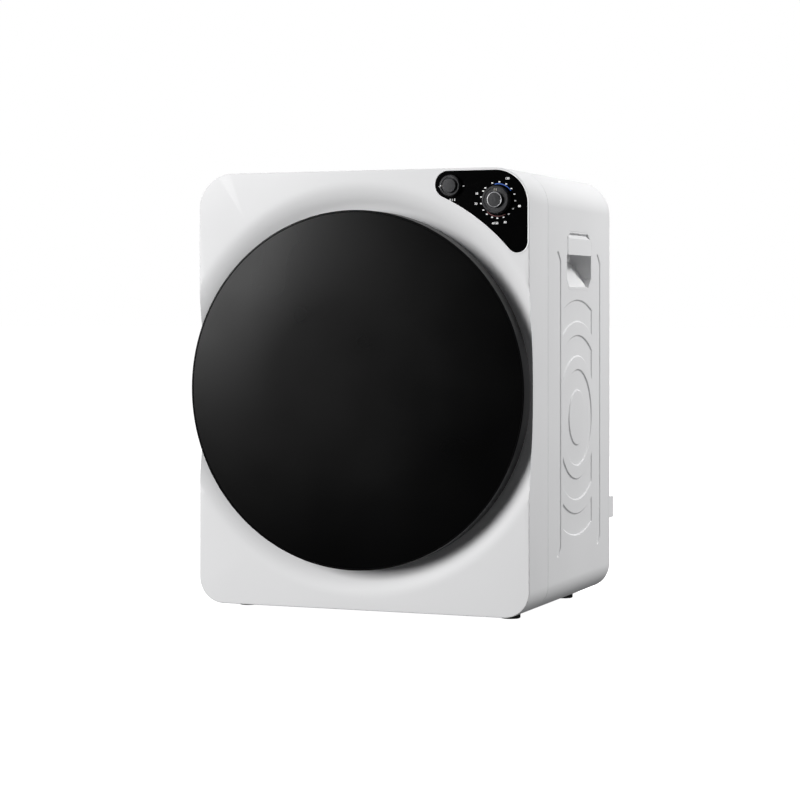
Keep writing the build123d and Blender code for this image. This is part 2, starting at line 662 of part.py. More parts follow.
def make_strike_plate():
    """Steel plate let into the door's back, opposite the magnet."""
    with BuildPart() as plate:
        block((MAGNET_X[0] - 2, MAGNET_X[1] + 2), (DOOR_BACK_Y - 0.85, DOOR_BACK_Y - 0.05),
              (MAGNET_Z[0] - 4, MAGNET_Z[1] + 4))
    return plate.part


def make_door_screws():
    """Six screws through the liner."""
    with BuildPart() as screws:
        for x, z in DOOR_SCREWS:
            disc(x, z, 3.4, -169.9, -168.2)
            disc(x, z, 1.5, -195, -169.9)
        for x, z in DOOR_SCREWS:
            block((x - 2.2, x + 2.2), (-168.9, -167), (z - 0.4, z + 0.4), Mode.SUBTRACT)
            block((x - 0.4, x + 0.4), (-168.9, -167), (z - 2.2, z + 2.2), Mode.SUBTRACT)
    return screws.part


def make_hinge_bracket():
    """Fixed steel bracket: a base on the dish floor and two forward lugs."""
    with BuildPart() as bracket:
        block((-219, -200), (FLOOR_Y - 2.05, FLOOR_Y - 0.05), (AXIS_Z - 40, AXIS_Z + 40))
        for sign in (1, -1):
            with BuildSketch(Plane.XY.offset(AXIS_Z + sign * LUG_DZ - 1.5)):
                with BuildLine():
                    Polyline((-206, FLOOR_Y - 1), (-206, -168), (-229.5, -200.5), (-238, -193),
                             (-219, -168), (-219, FLOOR_Y - 1), close=True)
                make_face()
                with Locations((HINGE_X, HINGE_Y)):
                    Circle(6)
                    Circle(PIN_R, mode=Mode.SUBTRACT)
            extrude(amount=3)
        for z in (AXIS_Z - 22, AXIS_Z + 22):
            disc(-209, z, 2.6, FLOOR_Y - 3, FLOOR_Y + 1, Mode.SUBTRACT)
    return bracket.part


def make_hinge_pin():
    """Pin pressed into both lugs."""
    with BuildPart() as pin:
        with Locations((HINGE_X, HINGE_Y, AXIS_Z)):
            Cylinder(PIN_R, 2 * LUG_DZ + 8)
    return pin.part


def make_hinge_leaf():
    """Moving leaf: a knuckle that turns on the pin and a plate on the door's hinge block."""
    with BuildPart() as leaf:
        with Locations((HINGE_X, HINGE_Y, AXIS_Z)):
            Cylinder(4.6, 2 * LUG_DZ - 12)
        block((HINGE_X, -203), (-197.2, -195.2), (AXIS_Z - 29, AXIS_Z + 29))
        with Locations((HINGE_X, HINGE_Y, AXIS_Z)):
            Cylinder(PIN_R + 0.06, 100, mode=Mode.SUBTRACT)
    return leaf.part


def make_latch_magnet():
    """Magnet in its plastic case on the dish floor."""
    with BuildPart() as magnet:
        block(MAGNET_X, (DOOR_BACK_Y + 0.8, FLOOR_Y), MAGNET_Z)
        fillet(magnet.edges().filter_by(Axis.Y), 3)
    return magnet.part


def make_door_switch_body():
    """Door switch behind the dish floor."""
    back = FLOOR_BACK_Y
    with BuildPart() as body:
        block((SWITCH_X - 7, SWITCH_X + 9), (back + 0.1, back + 10), (SWITCH_Z - 9, SWITCH_Z + 11))
        disc(SWITCH_X, SWITCH_Z, 3.1, back - 1, back + 8, Mode.SUBTRACT)
    return body.part


def make_door_switch_plunger():
    """Plunger that the closed door holds in."""
    with BuildPart() as plunger:
        disc(SWITCH_X, SWITCH_Z, 3.0, DOOR_BACK_Y + 0.1, -153)
        fillet(plunger.faces().sort_by(Axis.Y)[0].edges(), 1.5)
    return plunger.part


# ---------------------------------------------------------------- drum
def make_drum_shell():
    """Rolled steel drum with a front wall, a curled lip and two stiffening swages."""
    t = DRUM_SHEET
    r, lip = DRUM_R, DRUM_LIP_R
    outer = [(r, DRUM_FRONT_Y + 1), (r, -92), (r - 2.5, -88), (r - 2.5, -80), (r, -76), (r, 36),
             (r - 2.5, 40), (r - 2.5, 48), (r, 52), (r, DRUM_BACK_Y)]
    inner = [(radius - t, y) for radius, y in reversed(outer)]
    with BuildPart() as shell:
        turned([(lip + 2, DRUM_FRONT_Y), (r - 1, DRUM_FRONT_Y)] + outer + inner[:-1]
               + [(r - t, DRUM_FRONT_Y + t), (lip + 1 + t, DRUM_FRONT_Y + t), (lip + t, DRUM_FRONT_Y + 2 + t),
                  (lip + t, -138), (lip, -138), (lip, DRUM_FRONT_Y + 2)])
    return shell.part


def make_drum_back():
    """Drum's rear wall with its hub and the air holes behind the lint filter."""
    t = DRUM_SHEET
    r = DRUM_R - DRUM_SHEET - 0.05
    with BuildPart() as back:
        turned([(12, DRUM_BACK_Y - t), (100, DRUM_BACK_Y - t), (110, 98 - t), (196, 98 - t),
                (206, DRUM_BACK_Y - t), (r - t, DRUM_BACK_Y - t), (r - t, 95), (r, 95),
                (r, DRUM_BACK_Y), (205, DRUM_BACK_Y), (195, 98), (111, 98), (101, DRUM_BACK_Y),
                (12, DRUM_BACK_Y)])
        turned([(12.05, 84), (20, 84), (20, 101), (28, 103.5), (28, DRUM_BACK_Y + 1), (20, 110),
                (12.05, 110)])
        with BuildSketch(facing(DRUM_BACK_Y + 1)):
            for ring_r, count in ((38, 14), (51, 20), (64, 26), (77, 32)):
                with Locations((0, AXIS_Z)):
                    with PolarLocations(ring_r, count):
                        Circle(4.0)
        extrude(amount=3, mode=Mode.SUBTRACT)
    return back.part


def make_drum_bush():
    """Bearing bush pressed into the drum's hub."""
    with BuildPart() as bush:
        turned([(AXLE_R + 0.05, 84), (12, 84), (12, 110), (AXLE_R + 0.05, 110)])
    return bush.part


def make_drum_baffles():
    """Three hollow lifters on the drum's wall."""
    with BuildPart() as baffle:
        with BuildSketch(facing(88)):
            with BuildLine():
                Polyline((-34, AXIS_Z + 222), (-8, AXIS_Z + 180), (8, AXIS_Z + 180), (34, AXIS_Z + 222),
                         close=True)
            make_face()
        extrude(amount=210)
        fillet(baffle.edges().filter_by(Axis.Y).group_by(Axis.Z)[0], 7)
        with BuildSketch(facing(85)):
            with BuildLine():
                Polyline((-30.6, AXIS_Z + 223), (-6.4, AXIS_Z + 183), (6.4, AXIS_Z + 183),
                         (30.6, AXIS_Z + 223), close=True)
            make_face()
        extrude(amount=204, mode=Mode.SUBTRACT)
        with BuildSketch(facing(90)):
            with Locations((0, AXIS_Z)):
                Circle(DRUM_R - DRUM_SHEET - 2.6)
        extrude(amount=214, mode=Mode.INTERSECT)
    with BuildPart() as baffles:
        for angle in (0, 120, 240):
            add(baffle.part.rotate(DRUM_AXIS, angle))
    return baffles.part


def make_lint_filter_frame():
    """Round frame of the lint filter, with a central grip over the drum's hub."""
    with BuildPart() as frame:
        turned([(82, 98), (82, 101), (92, 102.6), (97, 102.6), (97, 100), (90, 92), (85, 92)])
        turned([(0, 74), (20, 74), (24, 78), (28, 96), (28, 101), (25.4, 101), (25.4, 96.4),
                (21.6, 79.4), (18.6, 77), (0, 77)])
        with BuildSketch(facing(101)):
            with Locations((0, AXIS_Z)):
                with PolarLocations(55, 8):
                    Rectangle(60, 3)
        extrude(amount=3)
    return frame.part


def make_lint_filter_mesh():
    """Fine mesh disc of the lint filter."""
    with BuildPart() as mesh:
        turned([(28.1, 101.0), (92, 101.0), (92, 101.6), (28.1, 101.6)])
        add(make_lint_filter_frame(), mode=Mode.SUBTRACT)
    return mesh.part


# ---------------------------------------------------------------- rear structure and air path
def make_rear_bulkhead():
    """Steel plate between drum and fan, with the air port, shaft hole and intake windows."""
    with BuildPart() as plate:
        slab(lambda: cabinet_section(5.0), BULKHEAD_Y, BULKHEAD_Y + BULKHEAD_T)
        disc(0, AXIS_Z, 64, 110, 115, Mode.SUBTRACT)
        disc(MOTOR_X, MOTOR_Z, 14, 110, 115, Mode.SUBTRACT)
        for sign in (1, -1):
            with BuildSketch(facing(115)):
                with Locations((sign * 150, 510)):
                    RectangleRounded(110, 120, 12)
            extrude(amount=5, mode=Mode.SUBTRACT)
        slab(handle_hollow, 110, 115, Mode.SUBTRACT)
        block((-HALF_W, HALF_W), (110, 115), (0, BASE_Z + 11), Mode.SUBTRACT)
    return plate.part


def handle_hollow():
    """Adds the clearance windows for the two handle cups to the sketch being built."""
    for sign in (1, -1):
        with Locations((sign * 222, HANDLE_Z)):
            Rectangle(44, HANDLE_H + 14)


def make_rear_felt_ring():
    """Felt that guides the air from the drum's back into the fan port."""
    with BuildPart() as felt:
        turned([(86, DRUM_BACK_Y + RUN), (96, DRUM_BACK_Y + RUN), (96, BULKHEAD_Y - 0.05), (86, BULKHEAD_Y - 0.05)])
    return felt.part


def scroll_outline(inset):
    """Adds the outline of the fan scroll and its outlet duct, shrunk by inset, to the sketch."""
    (x_low, x_high), (z_low, z_high) = DUCT_X, DUCT_Z
    with Locations((SCROLL_X, AXIS_Z)):
        Circle(SCROLL_R - inset)
    with Locations(((x_low + x_high) / 2, (z_low + inset + z_high) / 2)):
        Rectangle(x_high - x_low - 2 * inset, z_high - z_low - inset)


def make_fan_housing():
    """Scroll body with the fan's inlet, screwed to the bulkhead."""
    with BuildPart() as housing:
        slab(lambda: scroll_outline(0), SCROLL_FRONT_Y, SCROLL_BACK_Y)
        slab(lambda: scroll_outline(2), SCROLL_FRONT_Y + 2, SCROLL_BACK_Y + 1, Mode.SUBTRACT)
        disc(0, AXIS_Z, 60, 112, 117, Mode.SUBTRACT)
    return housing.part


def make_fan_housing_cover():
    """Rear cover of the scroll, with the hub hole and the outlet port."""
    with BuildPart() as cover:
        slab(lambda: scroll_outline(0), SCROLL_BACK_Y + 0.05, SCROLL_BACK_Y + 2)
        disc(0, AXIS_Z, 16, 157, 162, Mode.SUBTRACT)
        disc(EXHAUST_X, EXHAUST_Z, EXHAUST_R, 157, 162, Mode.SUBTRACT)
    return cover.part


def make_exhaust_collar():
    """Duct spigot that passes through the rear panel."""
    with BuildPart() as collar:
        disc(EXHAUST_X, EXHAUST_Z, EXHAUST_R + 4.5, SCROLL_BACK_Y + 2.05, SCROLL_BACK_Y + 4.5)
        disc(EXHAUST_X, EXHAUST_Z, EXHAUST_R + 1.4, 162, REAR_Y + 0.2)
        disc(EXHAUST_X, EXHAUST_Z, EXHAUST_R + 2, REAR_Y + 0.2, REAR_Y + 24)
        disc(EXHAUST_X, EXHAUST_Z, EXHAUST_R, 150, 220, Mode.SUBTRACT)
    return collar.part


def make_fan_impeller():
    """Radial fan with its hub and belt pulley in one moulding."""
    with BuildPart() as fan:
        turned([(AXLE_R + 0.08, 120), (14, 120), (14, 150), (FAN_R, 151.5), (FAN_R, 153.5), (14, 153.5),
                (14, 161), (FAN_PULLEY_R + 3, 161), (FAN_PULLEY_R + 3, 162.4), (FAN_PULLEY_R, 163),
                (FAN_PULLEY_R, 169), (FAN_PULLEY_R + 3, 169.6), (FAN_PULLEY_R + 3, 170.6),
                (AXLE_R + 0.08, 170.6)])
        turned([(63, 120), (FAN_R, 120), (FAN_R, 121.8), (63, 121.8)])
        with BuildSketch(facing(151.6)):
            with Locations((0, AXIS_Z)):
                with PolarLocations(74.5, 24):
                    Rectangle(24, 1.8, rotation=22)
        extrude(amount=31)
        turned([(FAN_R, 118), (FAN_R + 12, 118), (FAN_R + 12, 156), (FAN_R, 156)], Mode.SUBTRACT)
    return fan.part


def make_rear_support_bar():
    """Steel channel across the back that carries the axle."""
    with BuildPart() as bar:
        block((2.5 - HALF_W, HALF_W - 2.5), (BAR_Y, BAR_Y + BAR_T), BAR_Z)
        for z in (BAR_Z[0], BAR_Z[1] - BAR_T):
            block((-205, 205), (BAR_Y, BAR_Y + 8), (z, z + BAR_T))
        disc(0, AXIS_Z, 6.1, 170, 190, Mode.SUBTRACT)
    return bar.part


def make_centre_axle():
    """Fixed axle that the drum and the fan both turn on."""
    with BuildPart() as axle:
        disc(0, AXIS_Z, AXLE_R, 92, 173)
        disc(0, AXIS_Z, 20, 172, BAR_Y - 0.05)
        disc(0, AXIS_Z, 6, 175, 185.5)
        chamfer(axle.faces().sort_by(Axis.Y)[0].edges(), 1)
    return axle.part


# ---------------------------------------------------------------- heater
def inner_limits(limits):
    """The (low, high) limits of the space inside the heater's walls."""
    low, high = limits
    return low + HEATER_WALL, high - HEATER_WALL


def make_heater_housing():
    """Insulated box for the heating element, in the lower left corner."""
    with BuildPart() as housing:
        block(HEATER_X, (HEATER_FRONT_Y, -12), HEATER_Z)
        block(inner_limits(HEATER_X), (HEATER_FRONT_Y - 3, -9), inner_limits(HEATER_Z), Mode.SUBTRACT)
        for z in (HEATER_Z[0], HEATER_Z[1] - 4):
            block((HEATER_X[1], HEATER_X[1] + 14), (-60, -40), (z, z + 4))
    return housing.part


def make_heater_element():
    """Finned ceramic heating block."""
    with BuildPart() as element:
        block((-218, -146), (-70, -50), (30, 102))
        for index in range(9):
            z = 33.5 + 7.6 * index
            block((-216, -148), (-71, -49), (z, z + 5.0), Mode.SUBTRACT)
        for x in (-206, -182, -158):
            block((x - 2, x + 2), (-68, -52), (30, 102))
    return element.part


def spout_outline(shrink):
    """Adds the radial spout between the heater and the support's slots to the sketch."""
    turn = math.radians(HEATER_TURN)
    with Locations((SPOUT_MID * math.cos(turn), AXIS_Z + SPOUT_MID * math.sin(turn))):
        Rectangle(SPOUT_LEN - 2 * shrink, SPOUT_W - 2 * shrink, rotation=HEATER_TURN)


def make_heater_duct():
    """Duct from the heater box to the slots in the drum's front support."""
    with BuildPart() as duct:
        block(HEATER_X, (DUCT_FRONT_Y, HEATER_FRONT_Y - 0.2), HEATER_Z)
        slab(lambda: spout_outline(0), DUCT_FRONT_Y, DUCT_FRONT_Y + 7.8)
        block(inner_limits(HEATER_X), (DUCT_FRONT_Y + 1.6, -90), inner_limits(HEATER_Z), Mode.SUBTRACT)
        slab(lambda: spout_outline(1.6), DUCT_FRONT_Y + 1.6, DUCT_FRONT_Y + 6.2, Mode.SUBTRACT)
        disc(0, AXIS_Z, 160.3, -170, -140, Mode.SUBTRACT)
        dish_fill(WALL + 0.3, MOUTH_R, FRONT_Y - 1, Mode.SUBTRACT)
    return duct.part


# ---------------------------------------------------------------- motor and belts
def make_motor_body():
    """Motor with vented end bells."""
    with BuildPart() as motor:
        disc(MOTOR_X, MOTOR_Z, MOTOR_R, 15, 85)
        disc(MOTOR_X, MOTOR_Z, MOTOR_R - 4, 5, 95)
        disc(MOTOR_X, MOTOR_Z, 14, 0, 100)
        disc(MOTOR_X, MOTOR_Z, 5.05, -5, 105, Mode.SUBTRACT)
        with BuildSketch(facing(16)):
            with Locations((MOTOR_X, MOTOR_Z)):
                with PolarLocations(27, 10):
                    SlotOverall(16, 6)
        extrude(amount=14, mode=Mode.SUBTRACT)
    return motor.part


def make_motor_shaft():
    """Rotor shaft with the drum's drive pulley turned on its front end."""
    with BuildPart() as shaft:
        disc(MOTOR_X, MOTOR_Z, 5.0, -33, 173)
        disc(MOTOR_X, MOTOR_Z, DRUM_DRIVE_R, DRUM_BELT_Y - 9, DRUM_BELT_Y + 9)
        for y in (DRUM_BELT_Y - 10.5, DRUM_BELT_Y + 9):
            disc(MOTOR_X, MOTOR_Z, DRUM_DRIVE_R + 3.5, y, y + 1.5)
    return shaft.part


def make_fan_drive_pulley():
    """Pulley on the motor's rear end."""
    with BuildPart() as pulley:
        disc(MOTOR_X, MOTOR_Z, FAN_DRIVE_R + 3, 161, 162.6)
        disc(MOTOR_X, MOTOR_Z, FAN_DRIVE_R, 162.6, 169.4)
        disc(MOTOR_X, MOTOR_Z, FAN_DRIVE_R + 3, 169.4, 171)
        disc(MOTOR_X, MOTOR_Z, 5.0, 155, 175, Mode.SUBTRACT)
    return pulley.part


def make_motor_bracket():
    """Cradle that holds the motor on the base pan."""
    with BuildPart() as bracket:
        block((132, 200), (10, 90), (FLOOR_Z, FLOOR_Z + 2.5))
        for y in (20, 77):
            block((136, 200), (y, y + 2.5), (FLOOR_Z, 62))
        disc(MOTOR_X, MOTOR_Z, MOTOR_R + 0.05, 10, 95, Mode.SUBTRACT)
    return bracket.part


def tangent_points(a, b):
    """Where a belt that leaves circle a joins circle b.

    A circle is (x, z, signed radius); the sign says which way the belt turns round it."""
    dx, dz = b[0] - a[0], b[1] - a[1]
    length = math.hypot(dx, dz)
    lean = math.acos((a[2] - b[2]) / length)
    heading = math.atan2(dz, dx) - lean
    nx, nz = math.cos(heading), math.sin(heading)
    return (a[0] + a[2] * nx, a[1] + a[2] * nz), (b[0] + b[2] * nx, b[1] + b[2] * nz)


def belt_loop(circles):
    """Adds the closed area inside a belt that runs round the circles in turn."""
    runs = [tangent_points(circles[i], circles[(i + 1) % len(circles)]) for i in range(len(circles))]
    with BuildSketch(mode=Mode.PRIVATE) as loop:
        with BuildLine():
            for i, (start, end) in enumerate(runs):
                Line(start, end)
                x, z, radius = circles[(i + 1) % len(circles)]
                leave = runs[(i + 1) % len(runs)][0]
                first = math.atan2(end[1] - z, end[0] - x)
                last = math.atan2(leave[1] - z, leave[0] - x)
                sweep = (last - first) % (2 * math.pi) if radius > 0 else -((first - last) % (2 * math.pi))
                middle = first + sweep / 2
                ThreePointArc(end, (x + abs(radius) * math.cos(middle), z + abs(radius) * math.sin(middle)),
                              leave)
        make_face()
    add(loop.sketch)


def make_belt(circles, thickness, y_front, y_back):
    """A flat belt of the given thickness, laid outside the loop of circles."""
    outer = [(x, z, radius + thickness) for x, z, radius in circles]
    with BuildPart() as belt:
        slab(lambda: belt_loop(outer), y_front, y_back)
        slab(lambda: belt_loop(circles), y_front - 1, y_back + 1, Mode.SUBTRACT)
    return belt.part


def make_drum_belt():
    """Ribbed belt round the drum, the motor and, on its back, the idler."""
    circles = [(0, AXIS_Z, DRUM_R + RUN), (IDLER_X, IDLER_Z, -(IDLER_R + RUN + DRUM_BELT_T)),
               (MOTOR_X, MOTOR_Z, DRUM_DRIVE_R + RUN)]
    return make_belt(circles, DRUM_BELT_T, DRUM_BELT_Y - 8, DRUM_BELT_Y + 8)


def make_fan_belt():
    """Belt from the motor's rear pulley to the fan."""
    circles = [(0, AXIS_Z, FAN_PULLEY_R + RUN), (MOTOR_X, MOTOR_Z, FAN_DRIVE_R + RUN)]
    return make_belt(circles, FAN_BELT_T, FAN_BELT_Y - 2.6, FAN_BELT_Y + 2.6)


def make_idler_bracket():
    """Bracket on the base pan with the pivot of the belt tensioner."""
    with BuildPart() as bracket:
        block((36, 68), (-64, -38), (FLOOR_Z, FLOOR_Z + 2.5))
        block((36, 68), (-40.5, -38), (FLOOR_Z, 56))
        disc(IDLER_PIVOT_X, IDLER_PIVOT_Z, 4, -38.5, -29)
    return bracket.part


def make_idler_arm():
    """Tensioner arm with the idler's spindle."""
    span = math.hypot(IDLER_X - IDLER_PIVOT_X, IDLER_Z - IDLER_PIVOT_Z)
    tilt = math.degrees(math.atan2(IDLER_Z - IDLER_PIVOT_Z, IDLER_X - IDLER_PIVOT_X))
    with BuildPart() as arm:
        with BuildSketch(facing(-33)):
            with Locations(((IDLER_PIVOT_X + IDLER_X) / 2, (IDLER_PIVOT_Z + IDLER_Z) / 2)):
                SlotCenterToCenter(span, 16, rotation=tilt)
        extrude(amount=3)
        disc(IDLER_X, IDLER_Z, 4, -34, -9)
        disc(IDLER_PIVOT_X, IDLER_PIVOT_Z, 4.06, -40, -30, Mode.SUBTRACT)
    return arm.part


def make_idler_wheel():
    """Idler wheel that runs on the back of the drum belt."""
    with BuildPart() as wheel:
        disc(IDLER_X, IDLER_Z, IDLER_R, DRUM_BELT_Y - 10, DRUM_BELT_Y + 10)
        disc(IDLER_X, IDLER_Z, 4.06, -40, 0, Mode.SUBTRACT)
    return wheel.part


def make_idler_spring():
    """Torsion spring on the tensioner's pivot."""
    with BuildPart() as spring:
        for index in range(3):
            y = -32.4 + 1.15 * index
            with Locations(Location((IDLER_PIVOT_X, y + 0.5, IDLER_PIVOT_Z), (90, 0, 0))):
                Torus(5.2, 0.5)
        block((IDLER_PIVOT_X - 0.4, IDLER_PIVOT_X + 0.4), (-32.3, -29.2),
              (IDLER_PIVOT_Z - 5.6, IDLER_PIVOT_Z - 4.8))
    return spring.part


# ---------------------------------------------------------------- build every piece
PIECES = {
    "front_panel": make_front_panel,
    "control_fascia": make_control_fascia,
    "drum_front_support": make_drum_front_support,
    "front_felt_ring": make_front_felt_ring,
    "cabinet_shell": make_cabinet_shell,
    "base_pan": make_base_pan,
    "rear_panel": make_rear_panel,
    "intake_cover": make_intake_cover,
    "intake_filter": make_intake_filter,
    "side_handle_right": lambda: make_side_handle(1),
    "side_handle_left": lambda: make_side_handle(-1),
    "rubber_feet": make_rubber_feet,
    "foot_bolts": make_foot_bolts,
    "cord_cleats": make_cord_cleats,
    "cord_inlet_grommet": make_cord_inlet_grommet,
    "rear_panel_screws": make_rear_panel_screws,
    "timer_knob": make_timer_knob,
    "mode_knob": make_mode_knob,
    "timer_unit": make_timer_unit,
    "selector_switch": make_selector_switch,
    "door_bezel": make_door_bezel,
    "door_glass": make_door_glass,
    "door_liner": make_door_liner,
    "door_bowl": make_door_bowl,
    "door_seal": make_door_seal,
    "strike_plate": make_strike_plate,
    "door_screws": make_door_screws,
    "hinge_bracket": make_hinge_bracket,
    "hinge_pin": make_hinge_pin,
    "hinge_leaf": make_hinge_leaf,
    "latch_magnet": make_latch_magnet,
    "door_switch_body": make_door_switch_body,
    "door_switch_plunger": make_door_switch_plunger,
    "drum_shell": make_drum_shell,
    "drum_back": make_drum_back,
    "drum_bush": make_drum_bush,
    "drum_baffles": make_drum_baffles,
    "lint_filter_frame": make_lint_filter_frame,
    "lint_filter_mesh": make_lint_filter_mesh,
    "rear_bulkhead": make_rear_bulkhead,
    "rear_felt_ring": make_rear_felt_ring,
    "fan_housing": make_fan_housing,
    "fan_housing_cover": make_fan_housing_cover,
    "exhaust_collar": make_exhaust_collar,
    "fan_impeller": make_fan_impeller,
    "rear_support_bar": make_rear_support_bar,
    "centre_axle": make_centre_axle,
    "heater_housing": make_heater_housing,
    "heater_element": make_heater_element,
    "heater_duct": make_heater_duct,
    "motor_body": make_motor_body,
    "motor_shaft": make_motor_shaft,
    "fan_drive_pulley": make_fan_drive_pulley,
    "motor_bracket": make_motor_bracket,
    "drum_belt": make_drum_belt,
    "fan_belt": make_fan_belt,
    "idler_bracket": make_idler_bracket,
    "idler_arm": make_idler_arm,
    "idler_wheel": make_idler_wheel,
    "idler_spring": make_idler_spring,
}

for piece_name, make in PIECES.items():
    save(make(), piece_name)
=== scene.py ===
"""Looks for the compact tumble dryer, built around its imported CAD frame. Lengths are in metres."""

import json
import math

import bmesh
import bpy
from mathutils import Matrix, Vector


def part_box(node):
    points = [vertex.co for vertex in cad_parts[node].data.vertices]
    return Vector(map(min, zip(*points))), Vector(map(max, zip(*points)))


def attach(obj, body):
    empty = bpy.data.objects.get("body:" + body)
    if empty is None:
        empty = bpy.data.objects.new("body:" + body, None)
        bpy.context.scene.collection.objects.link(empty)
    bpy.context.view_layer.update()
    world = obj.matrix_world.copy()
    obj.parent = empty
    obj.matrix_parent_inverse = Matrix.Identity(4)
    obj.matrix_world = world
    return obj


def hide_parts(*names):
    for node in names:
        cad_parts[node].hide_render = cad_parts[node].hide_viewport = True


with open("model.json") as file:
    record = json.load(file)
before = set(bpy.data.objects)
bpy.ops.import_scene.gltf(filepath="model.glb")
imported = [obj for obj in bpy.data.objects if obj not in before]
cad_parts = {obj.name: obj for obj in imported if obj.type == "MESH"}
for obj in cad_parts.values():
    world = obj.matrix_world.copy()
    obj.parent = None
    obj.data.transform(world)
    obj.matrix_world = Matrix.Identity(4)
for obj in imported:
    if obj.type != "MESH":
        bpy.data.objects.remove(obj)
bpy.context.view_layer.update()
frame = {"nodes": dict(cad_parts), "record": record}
NODES = frame["nodes"]
MM = 0.001

# ---------------------------------------------------------------- places read from the frame
door_low, door_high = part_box("door_bezel")
DOOR_Z = (door_low.z + door_high.z) / 2
DOOR_R = (door_high.x - door_low.x) / 2
DOOR_FRONT = door_low.y
DOOR_RIM_BACK = door_high.y
glass_low, glass_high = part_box("door_glass")
GLASS_FRONT, GLASS_BACK = glass_low.y, glass_high.y
GLASS_R = (glass_high.x - glass_low.x) / 2
FASCIA_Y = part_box("control_fascia")[0].y
SKIN_LOW, SKIN_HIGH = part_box("cabinet_shell")
HALF_W = SKIN_HIGH.x


def centre_of(node):
    """Middle of a node's box, on the X and Z axes."""
    low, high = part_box(node)
    return (low.x + high.x) / 2, (low.z + high.z) / 2


TIMER_X, TIMER_Z = centre_of("timer_knob")
MODE_X, MODE_Z = centre_of("mode_knob")

# ---------------------------------------------------------------- sizes of the added detail
HARD_ANGLE = math.radians(30)       # edges sharper than this stay crisp
ROUND_STEPS = 256                   # facets of the door's large circles

# steel wrap
TOP_R, BOTTOM_R, ARC_STEPS = 50 * MM, 36 * MM, 16
SHEET = 0.9 * MM
JOGGLE, REAR_FLANGE = 3.3 * MM, 20 * MM
SKIN_FRONT, SKIN_BACK = SKIN_LOW.y + 10.6 * MM, SKIN_HIGH.y
BASE_OPENING, BASE_LIP = 160 * MM, 8 * MM
WINDOW_BORDER, WINDOW_CORNER = 5 * MM, 14 * MM

# pressed pattern in the sides
PRESS_DEPTH, PRESS_WALL, PRESS_STEPS = 1.6 * MM, 2.6 * MM, 8
RIPPLE_Y, RIPPLE_Z, RIPPLE_HALF = 28.5 * MM, 267 * MM, 68 * MM
RIPPLE_RINGS = ((39 * MM, 67.5 * MM), (87 * MM, 116 * MM), (136 * MM, 166 * MM))
GROOVE_YS, GROOVE_R = (-54 * MM, 134 * MM), 4.5 * MM
GROOVE_LOW, GROOVE_HIGH, HOOK = 92 * MM, 486 * MM, 9 * MM

# print round the knobs; angles run clockwise from the top, in degrees
INK, INK_ROOT = 0.12 * MM, 0.2 * MM      # above and below the plate's face
TICKS = (-19, 5, 29, 52, 72, 93, 119, 141, 161, 182, 200, 220, 238, 260, 281, 301, 313)
TICK_R, NUMBER_R, NUMBER_SIZE = 24.3 * MM, 31.5 * MM, 4 * MM
TICK_LENGTH, TICK_WIDTH = 2.5 * MM, 1.5 * MM
MODE_MARKS, MODE_MARK_LENGTH = ((-16.6 * MM, -0.6 * MM), (17.4 * MM, -0.6 * MM)), 2.2 * MM
COOL_ARC = (21.9 * MM, 1.1 * MM, -12, 68)       # radius, width, start, sweep
WARM_ARC = (21.6 * MM, 1.0 * MM, 150, 76)
MINUTES = ((25, "120"), (106, "80"), (161, "60"), (262, "20"), (287, "10"))

# each knob's metal rings (radius, depth, bead) and pointer marks (x, z, width, height), in millimetres
KNOB_RINGS = {"timer_knob": ((9.7, 0.7, 0.75), (17.6, 4.0, 1.0)), "mode_knob": ((12.6, 3.4, 0.9),)}
KNOB_MARKS = {"timer_knob": ((-1.3, 13.6, 0.9, 3.4), (1.3, 13.6, 0.9, 3.4)),
              "mode_knob": ((-11.6, 0, 2.4, 0.9),)}
MARK_DEPTH = {"timer_knob": 3.9, "mode_knob": 3.3}

# bead round the control plate; its whiter colour is a painted highlight of the plate's edge
LIP_R, LIP_SINK = 0.75 * MM, 0.25 * MM

# door
PANE_EDGE = 0.7 * MM
RING_EDGE, RING_BACK_EDGE, RING_WALL = 1.5 * MM, 0.8 * MM, 3 * MM
RING_GAP, RING_BEVEL, RING_STEP = 0.2 * MM, (0.5 * MM, 0.25 * MM), 8.8 * MM
LEDGE_R = 229 * MM
HINGE_X, HINGE_Y = -233 * MM, -196 * MM
LUG_DZ, SLOT_R, SLOT_HALF, SLOT_FRONT = 36 * MM, 46 * MM, 2.6 * MM, 7 * MM

# camera and studio, in metres and watts
CAMERA_PLACE, CAMERA_TURN = (1.185, -3.006, 0.413), 21.77
LENS, SENSOR, SHIFT = 100.54, 36.0, -0.107
FRONT_AIM, SIDE_AIM, LOW_AIM = (0, -0.2, 0.35), (0.24, 0, 0.3), (0.24, 0, 0.2)
TOP_AIM, BACK_AIM = (0, 0, 0.6), (0, 0.2, 0.3)
LIGHTS = (                          # name, place, aim, width and height, power, lights matt, shows as sheen
    ("key", (-2.70, -5.32, 1.62), FRONT_AIM, (2.7, 2.7), 350, True, False),
    ("sheen", (-1.95, -2.45, 1.0), FRONT_AIM, (1.2, 1.3), 108, False, True),
    ("top", (0.2, 0.2, 2.2), TOP_AIM, (1.6, 1.6), 15, True, True),
    ("side", (1.8, 1.3, 1.9), SIDE_AIM, (0.9, 0.9), 60, True, False),
    ("low", (2.4, 0.3, 0.25), LOW_AIM, (1.6, 0.4), 11, True, False),
    ("back", (-0.6, 2.6, 1.5), BACK_AIM, (1.6, 1.2), 45, True, False),
)
FLOOR_SIZE, FLOOR_GLOW = 60.0, 0.97     # the glow lifts the floor to the white of the surround
FILL_LIGHT = 0.12


